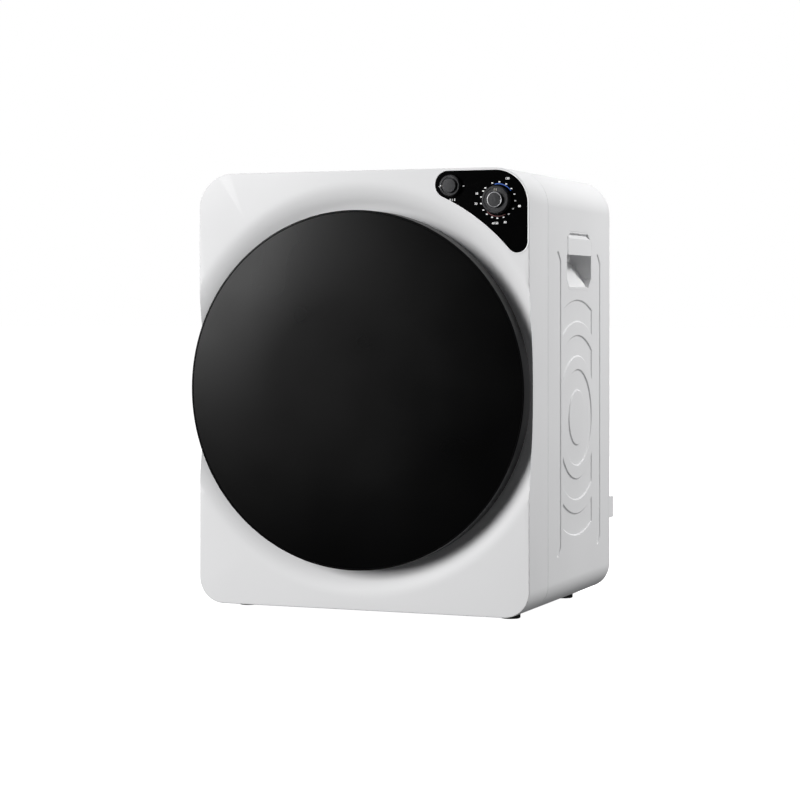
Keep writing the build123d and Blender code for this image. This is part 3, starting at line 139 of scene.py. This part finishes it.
# ---------------------------------------------------------------- materials
def new_material(name, colour, roughness, metallic=0.0, specular=0.5, coat=0.0):
    """A Principled material; the constants sit on the shader's own sockets."""
    material = bpy.data.materials.new(name)
    material.use_nodes = True
    shader = material.node_tree.nodes["Principled BSDF"]
    shader.inputs["Base Color"].default_value = (*colour, 1)
    shader.inputs["Roughness"].default_value = roughness
    shader.inputs["Metallic"].default_value = metallic
    shader.inputs["Specular IOR Level"].default_value = specular
    shader.inputs["Coat Weight"].default_value = coat
    shader.inputs["Coat Roughness"].default_value = 0.12
    return material, shader


def object_noise(tree, scale, detail=3.0, stretch=(1, 1, 1)):
    """Noise in object space, stretched along the axes for brushed surfaces."""
    place = tree.nodes.new("ShaderNodeTexCoord")
    mapping = tree.nodes.new("ShaderNodeMapping")
    mapping.inputs["Scale"].default_value = stretch
    noise = tree.nodes.new("ShaderNodeTexNoise")
    noise.inputs["Scale"].default_value = scale
    noise.inputs["Detail"].default_value = detail
    tree.links.new(place.outputs["Object"], mapping.inputs["Vector"])
    tree.links.new(mapping.outputs["Vector"], noise.inputs["Vector"])
    return noise


def spread(tree, source, low, high, target):
    """Maps a 0 to 1 value onto a range and drives a shader input with it."""
    ramp = tree.nodes.new("ShaderNodeMapRange")
    ramp.inputs["From Min"].default_value = 0.3
    ramp.inputs["From Max"].default_value = 0.7
    ramp.inputs["To Min"].default_value = low
    ramp.inputs["To Max"].default_value = high
    tree.links.new(source.outputs[0], ramp.inputs["Value"])
    tree.links.new(ramp.outputs["Result"], target)


def tint(tree, source, colour, amount, target):
    """Varies a colour a little, lighter and darker, with a 0 to 1 value."""
    mix = tree.nodes.new("ShaderNodeMix")
    mix.data_type = "RGBA"
    mix.inputs["A"].default_value = (*[c * (1 - amount) for c in colour], 1)
    mix.inputs["B"].default_value = (*[min(1, c * (1 + amount)) for c in colour], 1)
    tree.links.new(source.outputs[0], mix.inputs["Factor"])
    tree.links.new(mix.outputs["Result"], target)


def bumped(tree, source, shader, strength, distance):
    """Fine relief from a 0 to 1 value."""
    bump = tree.nodes.new("ShaderNodeBump")
    bump.inputs["Strength"].default_value = strength
    bump.inputs["Distance"].default_value = distance
    tree.links.new(source.outputs[0], bump.inputs["Height"])
    tree.links.new(bump.outputs["Normal"], shader.inputs["Normal"])


def surface(name, colour, roughness, grain, relief, vary=0.02, stretch=(1, 1, 1), **kind):
    """A finish with fine relief, and slow changes in colour and gloss."""
    material, shader = new_material(name, colour, roughness, **kind)
    tree = material.node_tree
    fine = object_noise(tree, grain, 4.0, stretch)
    slow = object_noise(tree, 7.0, 2.0)
    bumped(tree, fine, shader, relief, 0.0004)
    spread(tree, slow, roughness * 0.88, roughness * 1.12, shader.inputs["Roughness"])
    tint(tree, slow if vary < 0.05 else fine, colour, vary, shader.inputs["Base Color"])
    return material


def perforated_mesh(name, colour):
    """Woven filter cloth: two crossed wave patterns."""
    material, shader = new_material(name, colour, 0.8)
    tree = material.node_tree
    place = tree.nodes.new("ShaderNodeTexCoord")
    weave = tree.nodes.new("ShaderNodeMath")
    weave.operation = "MAXIMUM"
    for index, direction in enumerate(("X", "Z")):
        wave = tree.nodes.new("ShaderNodeTexWave")
        wave.bands_direction = direction
        wave.inputs["Scale"].default_value = 260.0
        tree.links.new(place.outputs["Object"], wave.inputs["Vector"])
        tree.links.new(wave.outputs["Fac"], weave.inputs[index])
    bumped(tree, weave, shader, 0.8, 0.0005)
    tint(tree, weave, colour, 0.35, shader.inputs["Base Color"])
    return material


BRUSHED = (1, 60, 1)
SLOTS = {
    "white_moulding": surface("white_moulding", (0.74, 0.74, 0.745), 0.46, 900, 0.05, 0.01, specular=0.3),
    "white_steel": surface("white_steel", (0.73, 0.73, 0.735), 0.46, 420, 0.10, 0.01, specular=0.35),
    "black_gloss": surface("black_gloss", (0.0008, 0.0008, 0.0009), 0.16, 500, 0.02, specular=0.05),
    "knob": surface("knob", (0.018, 0.018, 0.019), 0.38, 2400, 0.35, 0.3, metallic=0.7),
    "door_ring": surface("door_ring", (0.016, 0.016, 0.0165), 0.42, 1100, 0.12, 0.04, specular=0.3),
    "door_glass": surface("door_glass", (0.0004, 0.0004, 0.00045), 0.30, 30, 0.0, specular=0.075),
    "grey_moulding": surface("grey_moulding", (0.10, 0.10, 0.105), 0.48, 900, 0.25, 0.04),
    "smoked": surface("smoked", (0.012, 0.012, 0.014), 0.12, 300, 0.02, coat=0.5),
    "black_rubber": surface("black_rubber", (0.016, 0.016, 0.016), 0.78, 700, 0.35, 0.12),
    "felt": surface("felt", (0.42, 0.39, 0.34), 0.95, 1500, 0.9, 0.2),
    "foam": surface("foam", (0.03, 0.03, 0.03), 0.95, 700, 1.0, 0.35),
    "galvanised": surface("galvanised", (0.50, 0.52, 0.54), 0.42, 130, 0.12, 0.14, metallic=0.9),
    "stainless": surface("stainless", (0.60, 0.60, 0.59), 0.26, 160, 0.20, 0.06, BRUSHED, metallic=1.0),
    "bright_steel": surface("bright_steel", (0.58, 0.58, 0.57), 0.25, 400, 0.10, 0.05, metallic=1.0),
    "white_plastic": surface("white_plastic", (0.66, 0.66, 0.65), 0.45, 900, 0.18, 0.02),
    "blue_plastic": surface("blue_plastic", (0.16, 0.24, 0.34), 0.45, 900, 0.2, 0.04),
    "filter_mesh": perforated_mesh("filter_mesh", (0.62, 0.62, 0.60)),
    "bronze": surface("bronze", (0.42, 0.26, 0.12), 0.38, 500, 0.2, 0.08, metallic=1.0),
    "duct_metal": surface("duct_metal", (0.66, 0.67, 0.68), 0.34, 220, 0.15, 0.05, metallic=1.0),
    "magnet": surface("magnet", (0.03, 0.03, 0.03), 0.5, 800, 0.2, 0.05),
    "heater": surface("heater", (0.20, 0.17, 0.15), 0.6, 300, 0.3, 0.2, metallic=0.6),
}
# lighter copy of the white moulding: painted highlight on the bead round the control plate
LIP_PAINTED_HIGHLIGHT = surface("lip_painted_highlight", (0.97, 0.97, 0.97), 0.3, 900, 0.03)
RIM_BLACK = surface("rim_black", (0.002, 0.002, 0.0021), 0.30, 1100, 0.04, specular=0.1)
WHITE_INK = surface("white_ink", (0.95, 0.95, 0.95), 0.5, 900, 0.05)
BLUE_INK = surface("blue_ink", (0.01, 0.10, 0.50), 0.5, 900, 0.05)
RED_INK = surface("red_ink", (0.10, 0.008, 0.008), 0.5, 900, 0.05)
KNOB_EDGE = surface("knob_edge", (0.40, 0.40, 0.41), 0.36, 900, 0.05, metallic=1.0)
POINTER_INK = surface("pointer_ink", (0.42, 0.40, 0.34), 0.5, 900, 0.05)


def dress_nodes():
    """Gives every CAD node its slot's finish and smooth shading between its hard edges."""
    slot_of = {row["node"]: row["material_slot"] for row in frame["record"]["subparts"]}
    for name, node in NODES.items():
        material = SLOTS[slot_of[name]]
        node.data.materials.clear()
        node.data.materials.append(material)
        node.data.polygons.foreach_set("use_smooth", [True] * len(node.data.polygons))
        weld = node.modifiers.new("weld", "WELD")
        weld.merge_threshold = 1e-6
        split = node.modifiers.new("hard_edges", "EDGE_SPLIT")
        split.split_angle = math.radians(26)


dress_nodes()


# ---------------------------------------------------------------- mesh helpers
def from_bmesh(name, bm, body, slot=None, material=None):
    """Turns a bmesh into a piece that rides on a body."""
    mesh = bpy.data.meshes.new(name)
    bmesh.ops.recalc_face_normals(bm, faces=bm.faces)
    bm.to_mesh(mesh)
    bm.free()
    piece = bpy.data.objects.new(name, mesh)
    bpy.context.scene.collection.objects.link(piece)
    mesh.polygons.foreach_set("use_smooth", [True] * len(mesh.polygons))
    mesh.materials.append(material or SLOTS[slot])
    split = piece.modifiers.new("hard_edges", "EDGE_SPLIT")
    split.split_angle = HARD_ANGLE
    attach(piece, body)
    return piece


def turn(bm, profile, x, z, steps):
    """Turns a closed outline of (radius, y) points about the line along Y through x, z."""
    rings = []
    for radius, y in profile:
        if radius < 1e-7:
            rings.append([bm.verts.new((x, y, z))] * steps)
            continue
        rings.append([bm.verts.new((x + radius * math.cos(math.tau * i / steps), y,
                                    z + radius * math.sin(math.tau * i / steps))) for i in range(steps)])
    for ring, following in zip(rings, rings[1:] + rings[:1]):
        for i in range(steps):
            corners = [ring[i], ring[(i + 1) % steps], following[(i + 1) % steps], following[i]]
            corners = list(dict.fromkeys(corners))
            if len(corners) > 2:
                bm.faces.new(corners)


def round_corner(radius, y, size, start, steps=5):
    """Points of a quarter round with centre (radius, y), from the start angle in degrees, anticlockwise."""
    return [(radius + size * math.cos(math.radians(start + 90 * i / steps)),
             y + size * math.sin(math.radians(start + 90 * i / steps))) for i in range(steps + 1)]


def prism(bm, outline, y_front, y_back):
    """Extrudes an outline of (x, z) points from one depth to another."""
    front = [bm.verts.new((x, y_front, z)) for x, z in outline]
    back = [bm.verts.new((x, y_back, z)) for x, z in outline]
    bm.faces.new(front)
    bm.faces.new(list(reversed(back)))
    count = len(outline)
    for i in range(count):
        j = (i + 1) % count
        bm.faces.new([front[j], front[i], back[i], back[j]])


def arc_band(x, z, radius, width, start, sweep, steps=24):
    """Outline of a curved band; angles are clockwise from the top, in degrees."""
    def edge(r, order):
        return [(x + r * math.sin(math.radians(start + sweep * i / steps)),
                 z + r * math.cos(math.radians(start + sweep * i / steps))) for i in order]
    return edge(radius + width / 2, range(steps + 1)) + edge(radius - width / 2, range(steps, -1, -1))


def bar(x, z, length, width, turn_deg):
    """Outline of a small bar with its length along the clockwise angle turn_deg."""
    angle = math.radians(turn_deg)
    along = Vector((math.sin(angle), math.cos(angle))) * length / 2
    across = Vector((math.cos(angle), -math.sin(angle))) * width / 2
    middle = Vector((x, z))
    return [tuple(middle + along + across), tuple(middle + along - across),
            tuple(middle - along - across), tuple(middle - along + across)]


def cut(piece, cutters):
    """Takes other meshes away from a piece and removes them."""
    for cutter in cutters:
        boolean = piece.modifiers.new("cut", "BOOLEAN")
        boolean.operation = "DIFFERENCE"
        boolean.solver = "MANIFOLD"
        boolean.object = cutter
    bpy.context.view_layer.update()
    shaped = bpy.data.meshes.new_from_object(piece.evaluated_get(bpy.context.evaluated_depsgraph_get()))
    piece.modifiers.clear()
    piece.data = shaped
    for cutter in cutters:
        bpy.data.objects.remove(cutter)


def loose(name, bm):
    """A bare object for cutting and shaping."""
    mesh = bpy.data.meshes.new(name)
    bmesh.ops.recalc_face_normals(bm, faces=bm.faces)
    bm.to_mesh(mesh)
    bm.free()
    shape = bpy.data.objects.new(name, mesh)
    bpy.context.scene.collection.objects.link(shape)
    return shape


def finish_piece(piece, body, slot, angle=30):
    """Smooths, dresses and mounts a cut piece."""
    piece.data.materials.clear()
    piece.data.materials.append(SLOTS[slot])
    piece.data.polygons.foreach_set("use_smooth", [True] * len(piece.data.polygons))
    split = piece.modifiers.new("hard_edges", "EDGE_SPLIT")
    split.split_angle = math.radians(angle)
    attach(piece, body)


def block_shape(name, x, y, z):
    """A cutter with the given (low, high) limits."""
    bm = bmesh.new()
    prism(bm, [(x[0], z[0]), (x[1], z[0]), (x[1], z[1]), (x[0], z[1])], y[0], y[1])
    return loose(name, bm)


# ---------------------------------------------------------------- control panel
def print_on_fascia(name, outlines, material):
    """Thin raised print on the control plate."""
    bm = bmesh.new()
    for outline in outlines:
        prism(bm, outline, FASCIA_Y - INK, FASCIA_Y + INK_ROOT)
    return from_bmesh(name, bm, "cabinet", None, material)


def around(x, z, radius, angle):
    """The (x, z) point at a clockwise angle from the top, in degrees."""
    return x + radius * math.sin(math.radians(angle)), z + radius * math.cos(math.radians(angle))


def make_dial_print():
    """Dashes, heat arcs and minutes round the timer knob, and marks at the small knob."""
    dashes = [bar(*around(TIMER_X, TIMER_Z, TICK_R, angle), TICK_LENGTH, TICK_WIDTH, 90) for angle in TICKS]
    dashes += [bar(MODE_X + dx, MODE_Z + dz, MODE_MARK_LENGTH, TICK_WIDTH, 90) for dx, dz in MODE_MARKS]
    print_on_fascia("dial_ticks", dashes, WHITE_INK)
    print_on_fascia("cool_arc", [arc_band(TIMER_X, TIMER_Z, *COOL_ARC)], BLUE_INK)
    print_on_fascia("warm_arc", [arc_band(TIMER_X, TIMER_Z, *WARM_ARC)], RED_INK)
    labels = [(text, *around(TIMER_X, TIMER_Z, NUMBER_R, angle)) for angle, text in MINUTES]
    labels.append(("0 1 2", MODE_X + 1.6 * MM, MODE_Z - 19.0 * MM))
    labels.append(("40 50", TIMER_X - 4.0 * MM, TIMER_Z - 31.0 * MM))
    for index, (text, x, z) in enumerate(labels):
        curve = bpy.data.curves.new(f"dial_number_{index}", "FONT")
        curve.body = text
        curve.size = NUMBER_SIZE
        curve.extrude = INK
        curve.offset = INK
        curve.align_x = "CENTER"
        curve.align_y = "CENTER"
        number = bpy.data.objects.new(curve.name, curve)
        number.location = (x, FASCIA_Y, z)
        number.rotation_euler = (math.pi / 2, 0, 0)
        curve.materials.append(WHITE_INK)
        bpy.context.scene.collection.objects.link(number)
        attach(number, "cabinet")


def make_knob_face(node):
    """Turned metal rings on a knob, and its pointer marks."""
    x, z = centre_of(node)
    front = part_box(node)[0].y
    for index, (radius, depth, bead) in enumerate(KNOB_RINGS[node]):
        bm = bmesh.new()
        profile = []
        for start in (0, 90, 180, 270):
            profile += round_corner(radius * MM, front + depth * MM, bead * MM, start, 4)[:-1]
        turn(bm, profile, x, z, 96)
        from_bmesh(f"{node}_ring_{index}", bm, node, None, KNOB_EDGE)
    bm = bmesh.new()
    for dx, dz, width, height in KNOB_MARKS[node]:
        face = front + MARK_DEPTH[node] * MM
        prism(bm, bar(x + dx * MM, z + dz * MM, height * MM, width * MM, 0), face, face + 0.5 * MM)
    from_bmesh(f"{node}_pointer", bm, node, None, POINTER_INK)


def outline_of(faces):
    """Vertices along the rim of connected faces, in order."""
    inside = set(faces)
    ahead = {}
    for face in faces:
        for edge in face.edges:
            if sum(other in inside for other in edge.link_faces) == 1:
                for vertex in edge.verts:
                    ahead.setdefault(vertex, []).append(edge.other_vert(vertex))
    loop, previous = [min(ahead, key=lambda vertex: vertex.co.x)], None
    while True:
        following = [vertex for vertex in ahead[loop[-1]] if vertex is not previous][0]
        previous = loop[-1]
        if following is loop[0]:
            return loop
        loop.append(following)


def make_fascia_lip():
    """Thin bead round the control plate; its rounding catches real light, and its colour, whiter than the
    moulding, is a painted highlight.
    """
    source = bmesh.new()
    source.from_mesh(NODES["control_fascia"].data)
    bmesh.ops.remove_doubles(source, verts=source.verts, dist=1e-6)
    front = [face for face in source.faces
             if face.normal.y < -0.99 and abs(face.calc_center_median().y - FASCIA_Y) < 1e-5]
    loop = outline_of(front)
    curve = bpy.data.curves.new("fascia_lip", "CURVE")
    curve.dimensions = "3D"
    spline = curve.splines.new("POLY")
    spline.points.add(len(loop) - 1)
    for point, vertex in zip(spline.points, loop):
        point.co = (vertex.co.x, FASCIA_Y + LIP_SINK, vertex.co.z, 1)
    spline.use_cyclic_u = True
    curve.bevel_depth = LIP_R
    curve.bevel_resolution = 3
    # painted highlight: the bead is coloured whiter than the moulding round it
    curve.materials.append(LIP_PAINTED_HIGHLIGHT)
    source.free()
    lip = bpy.data.objects.new("fascia_lip", curve)
    bpy.context.scene.collection.objects.link(lip)
    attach(lip, "cabinet")


# ---------------------------------------------------------------- steel wrap with soft pressings
def circle_loop(radius, steps=160):
    """Points round the middle of the ripples."""
    angles = [math.tau * i / steps for i in range(steps)]
    return [(RIPPLE_Y + radius * math.cos(a), RIPPLE_Z + radius * math.sin(a)) for a in angles]


def band_loop(inner, outer, half, up, steps=40):
    """Outline of the part of a ring above (up = 1) or below (up = -1) the middle, cut off at both sides."""
    loop = []
    for radius, order in ((outer, range(steps + 1)), (inner, range(steps, -1, -1))):
        first = math.acos(half / radius)
        for i in order:
            angle = first + (math.pi - 2 * first) * i / steps
            loop.append((RIPPLE_Y + radius * math.cos(angle), RIPPLE_Z + up * radius * math.sin(angle)))
    return loop


def groove_loop(y, radius, steps=12):
    """Outline of a vertical groove with both ends hooked to the front."""
    path = [Vector((y - HOOK, GROOVE_LOW - HOOK)), Vector((y, GROOVE_LOW)),
            Vector((y, GROOVE_HIGH)), Vector((y - HOOK, GROOVE_HIGH + HOOK))]
    normals = []
    for start, end in zip(path, path[1:]):
        along = (end - start).normalized()
        normals.append(Vector((along.y, -along.x)))

    def flank(reach):
        points = [path[0] + normals[0] * reach]
        for i in (1, 2):
            mitre = (normals[i - 1] + normals[i]).normalized()
            points.append(path[i] + mitre * reach / mitre.dot(normals[i]))
        return points + [path[3] + normals[2] * reach]

    def end_round(middle, start):
        first = math.atan2(start.y, start.x)
        angles = [first + math.pi * k / steps for k in range(1, steps)]
        return [middle + Vector((math.cos(a), math.sin(a))) * radius for a in angles]

    loop = flank(radius) + end_round(path[3], normals[2])
    loop += flank(-radius)[::-1] + end_round(path[0], -normals[0])
    return [tuple(point) for point in loop]


def press_outlines(grow):
    """Every pressed outline, grown by grow. The first two are the closed ring's outer and inner edge."""
    (ring_in, ring_out), *bands = RIPPLE_RINGS
    outlines = [circle_loop(ring_out + grow), circle_loop(ring_in - grow)]
    for inner, outer in bands:
        for up in (1, -1):
            outlines.append(band_loop(inner - grow, outer + grow, RIPPLE_HALF + grow, up))
    outlines += [groove_loop(y, GROOVE_R + grow) for y in GROOVE_YS]
    return outlines


def joined(bm, ring, following):
    """Quads between two loops of vertices."""
    count = len(ring)
    for i in range(count):
        j = (i + 1) % count
        bm.faces.new([ring[i], ring[j], following[j], following[i]])


def loop_edges(bm, loop):
    """The edges of a closed loop of vertices, made where they are missing."""
    return [bm.edges.get((v, w)) or bm.edges.new((v, w)) for v, w in zip(loop, loop[1:] + loop[:1])]


def filled(bm, loops):
    """Flat fill between an outer loop and its holes."""
    edges = [edge for loop in loops for edge in loop_edges(bm, loop)]
    bmesh.ops.triangle_fill(bm, use_beauty=True, use_dissolve=False, edges=edges)


def handle_window():
    """Octagon (y, z) cut in the side for the handle."""
    low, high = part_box("side_handle_right")
    corner = WINDOW_CORNER
    y_low, y_high = low.y + WINDOW_BORDER, high.y - WINDOW_BORDER
    z_low, z_high = low.z + WINDOW_BORDER, high.z - WINDOW_BORDER
    return [(y_low + corner, z_low), (y_high - corner, z_low), (y_high, z_low + corner),
            (y_high, z_high - corner), (y_high - corner, z_high), (y_low + corner, z_high),
            (y_low, z_high - corner), (y_low, z_low + corner)]


def press_side(bm, side, border):
    """Fills one side of the wrap inside its border, with the pressings and the handle's window."""
    rows = []
    for step in range(PRESS_STEPS + 1):
        share = step / PRESS_STEPS
        depth = PRESS_DEPTH * share * share * (3 - 2 * share)
        rows.append([[bm.verts.new((side * (HALF_W - depth), y, z)) for y, z in outline]
                     for outline in press_outlines(PRESS_WALL * (0.5 - share))])
    for row, following in zip(rows, rows[1:]):
        for outline, next_outline in zip(row, following):
            joined(bm, outline, next_outline)
    ring_outer, ring_inner, *others = rows[-1]
    joined(bm, ring_outer, ring_inner)
    for outline in others:
        filled(bm, [outline])
    filled(bm, [rows[0][1]])
    window = [bm.verts.new((side * HALF_W, y, z)) for y, z in handle_window()]
    filled(bm, [border, rows[0][0], *rows[0][2:], window])


def wrap_ring(bm, inset, y):
    """Vertices of the cabinet's outline, shrunk by inset, corner by corner from the top right."""
    high, low = SKIN_HIGH.z - TOP_R, SKIN_LOW.z + BOTTOM_R
    corners = ((HALF_W - TOP_R, high, TOP_R, 0), (TOP_R - HALF_W, high, TOP_R, 90),
               (BOTTOM_R - HALF_W, low, BOTTOM_R, 180), (HALF_W - BOTTOM_R, low, BOTTOM_R, 270))
    ring = []
    for x, z, radius, start in corners:
        for i in range(ARC_STEPS + 1):
            angle = math.radians(start + 90 * i / ARC_STEPS)
            ring.append(bm.verts.new((x + (radius - inset) * math.cos(angle), y,
                                      z + (radius - inset) * math.sin(angle))))
    return ring


def make_cabinet_skin():
    """Steel wrap whose ripple rings and grooves have the soft slopes of a pressing.

    Edge number left, under or right of the outline is the flat side of that name.
    """
    bm = bmesh.new()
    front, back = wrap_ring(bm, 0, SKIN_FRONT), wrap_ring(bm, 0, SKIN_BACK)
    inner_front = wrap_ring(bm, JOGGLE, SKIN_FRONT)
    joined(bm, inner_front, front)
    joined(bm, wrap_ring(bm, JOGGLE, SKIN_LOW.y), inner_front)
    joined(bm, back, wrap_ring(bm, REAR_FLANGE, SKIN_BACK))
    corner = ARC_STEPS + 1
    left, under, right = 2 * corner - 1, 3 * corner - 1, 4 * corner - 1
    count = len(front)
    for i in range(count):
        if i not in (left, under, right):
            j = (i + 1) % count
            bm.faces.new([front[i], front[j], back[j], back[i]])
    press_side(bm, 1, [front[right], front[0], back[0], back[right]])
    press_side(bm, -1, [front[left], front[left + 1], back[left + 1], back[left]])
    hole_front, hole_back = SKIN_FRONT + BASE_LIP, SKIN_BACK - REAR_FLANGE
    hole = [bm.verts.new((x, y, SKIN_LOW.z)) for x, y in
            ((-BASE_OPENING, hole_front), (BASE_OPENING, hole_front),
             (BASE_OPENING, hole_back), (-BASE_OPENING, hole_back))]
    filled(bm, [[front[under], front[under + 1], back[under + 1], back[under]], hole])
    skin = loose("cabinet_skin", bm)
    if sum(face.normal.x * face.center.x for face in skin.data.polygons) < 0:
        skin.data.flip_normals()
    sheet = skin.modifiers.new("sheet", "SOLIDIFY")
    sheet.thickness = SHEET
    sheet.offset = -1
    finish_piece(skin, "cabinet", "white_steel", 50)
    even = skin.modifiers.new("flat_sides", "WEIGHTED_NORMAL")
    even.keep_sharp = True
    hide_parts("cabinet_shell")


# ---------------------------------------------------------------- door
def make_door_front():
    """The door's pane as a finely turned disc with a softened edge."""
    bm = bmesh.new()
    profile = [(0, GLASS_FRONT), (GLASS_R * 0.5, GLASS_FRONT)]
    profile += round_corner(GLASS_R - PANE_EDGE, GLASS_FRONT + PANE_EDGE, PANE_EDGE, 270)
    profile += [(GLASS_R, GLASS_BACK), (0, GLASS_BACK)]
    turn(bm, profile, 0, DOOR_Z, ROUND_STEPS)
    pane = from_bmesh("door_pane", bm, "door", "door_glass")
    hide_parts("door_glass")


def make_door_ring():
    """Dark outer ring of the door, turned finely, with the hinge lugs' slots."""
    inner, wall, step = GLASS_R + RING_GAP, DOOR_R - RING_WALL, DOOR_FRONT + RING_STEP
    bevel_r, bevel_y = RING_BEVEL
    bm = bmesh.new()
    profile = [(inner, DOOR_FRONT + bevel_y), (GLASS_R + bevel_r, DOOR_FRONT)]
    profile += round_corner(DOOR_R - RING_EDGE, DOOR_FRONT + RING_EDGE, RING_EDGE, 270)
    profile += round_corner(DOOR_R - RING_BACK_EDGE, DOOR_RIM_BACK - RING_BACK_EDGE, RING_BACK_EDGE, 0, 4)
    profile += [(wall, DOOR_RIM_BACK), (wall, step), (LEDGE_R, step),
                (LEDGE_R, GLASS_BACK), (inner, GLASS_BACK)]
    turn(bm, profile, 0, DOOR_Z, ROUND_STEPS)
    ring = loose("door_ring", bm)
    cutters = []
    for side in (-1, 1):
        z = DOOR_Z + side * LUG_DZ
        cutters.append(block_shape("slot", (HINGE_X - SLOT_R, HINGE_X + SLOT_R),
                                   (HINGE_Y - SLOT_FRONT, HINGE_Y + SLOT_R), (z - SLOT_HALF, z + SLOT_HALF)))
    cut(ring, cutters)
    finish_piece(ring, "door", "door_ring", 35)
    ring.data.materials.append(RIM_BLACK)
    for face in ring.data.polygons:
        if face.normal.y < -0.35 and face.center.y < GLASS_FRONT + MM:
            face.material_index = 1
    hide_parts("door_bezel")


make_cabinet_skin()
make_fascia_lip()
make_door_ring()
make_dial_print()
make_knob_face("timer_knob")
make_knob_face("mode_knob")
make_door_front()


# ---------------------------------------------------------------- camera and studio
def make_camera():
    """Level camera to the right of the front, with the picture's framing as a shift."""
    data = bpy.data.cameras.new("camera")
    data.lens, data.sensor_width, data.shift_y = LENS, SENSOR, SHIFT
    camera = bpy.data.objects.new("camera", data)
    camera.location = CAMERA_PLACE
    camera.rotation_euler = (math.radians(90), 0, math.radians(CAMERA_TURN))
    bpy.context.scene.collection.objects.link(camera)
    bpy.context.scene.camera = camera


def make_light(name, place, aim, size, power, shades, shines):
    """A softbox that faces a point; it may light only matt surfaces, or only show as a sheen."""
    data = bpy.data.lights.new(name, "AREA")
    data.shape = "RECTANGLE"
    data.size, data.size_y = size
    data.energy = power
    light = bpy.data.objects.new(name, data)
    light.location = place
    light.rotation_euler = (Vector(aim) - Vector(place)).to_track_quat("-Z", "Y").to_euler()
    light.visible_diffuse = shades
    light.visible_glossy = shines
    bpy.context.scene.collection.objects.link(light)


def make_floor():
    """Plain pale floor."""
    bm = bmesh.new()
    for x, y in ((-1, -1), (1, -1), (1, 1), (-1, 1)):
        bm.verts.new((x * FLOOR_SIZE, y * FLOOR_SIZE, 0))
    bm.faces.new(bm.verts[:])
    mesh = bpy.data.meshes.new("floor")
    bm.to_mesh(mesh)
    bm.free()
    floor = bpy.data.objects.new("floor", mesh)
    material = surface("floor", (0.90, 0.90, 0.90), 0.8, 40, 0.0, 0.005, specular=0.1)
    shader = material.node_tree.nodes["Principled BSDF"]
    shader.inputs["Emission Color"].default_value = (1, 1, 1, 1)
    shader.inputs["Emission Strength"].default_value = FLOOR_GLOW
    mesh.materials.append(material)
    bpy.context.scene.collection.objects.link(floor)
    floor.visible_diffuse = False
    floor.visible_glossy = False


def make_world():
    """White surround for the camera, dimmer as a source of light and reflections."""
    world = bpy.data.worlds.new("studio")
    bpy.context.scene.world = world
    world.use_nodes = True
    tree = world.node_tree
    tree.nodes.clear()
    path = tree.nodes.new("ShaderNodeLightPath")
    seen = tree.nodes.new("ShaderNodeBackground")
    lit = tree.nodes.new("ShaderNodeBackground")
    seen.inputs["Color"].default_value = (1, 1, 1, 1)
    lit.inputs["Color"].default_value = (0.97, 0.98, 1, 1)
    lit.inputs["Strength"].default_value = FILL_LIGHT
    mix = tree.nodes.new("ShaderNodeMixShader")
    out = tree.nodes.new("ShaderNodeOutputWorld")
    tree.links.new(path.outputs["Is Camera Ray"], mix.inputs["Fac"])
    tree.links.new(lit.outputs[0], mix.inputs[1])
    tree.links.new(seen.outputs[0], mix.inputs[2])
    tree.links.new(mix.outputs[0], out.inputs["Surface"])


make_camera()
make_floor()
make_world()
for light_row in LIGHTS:
    make_light(*light_row)
bpy.context.scene.view_settings.view_transform = "Standard"
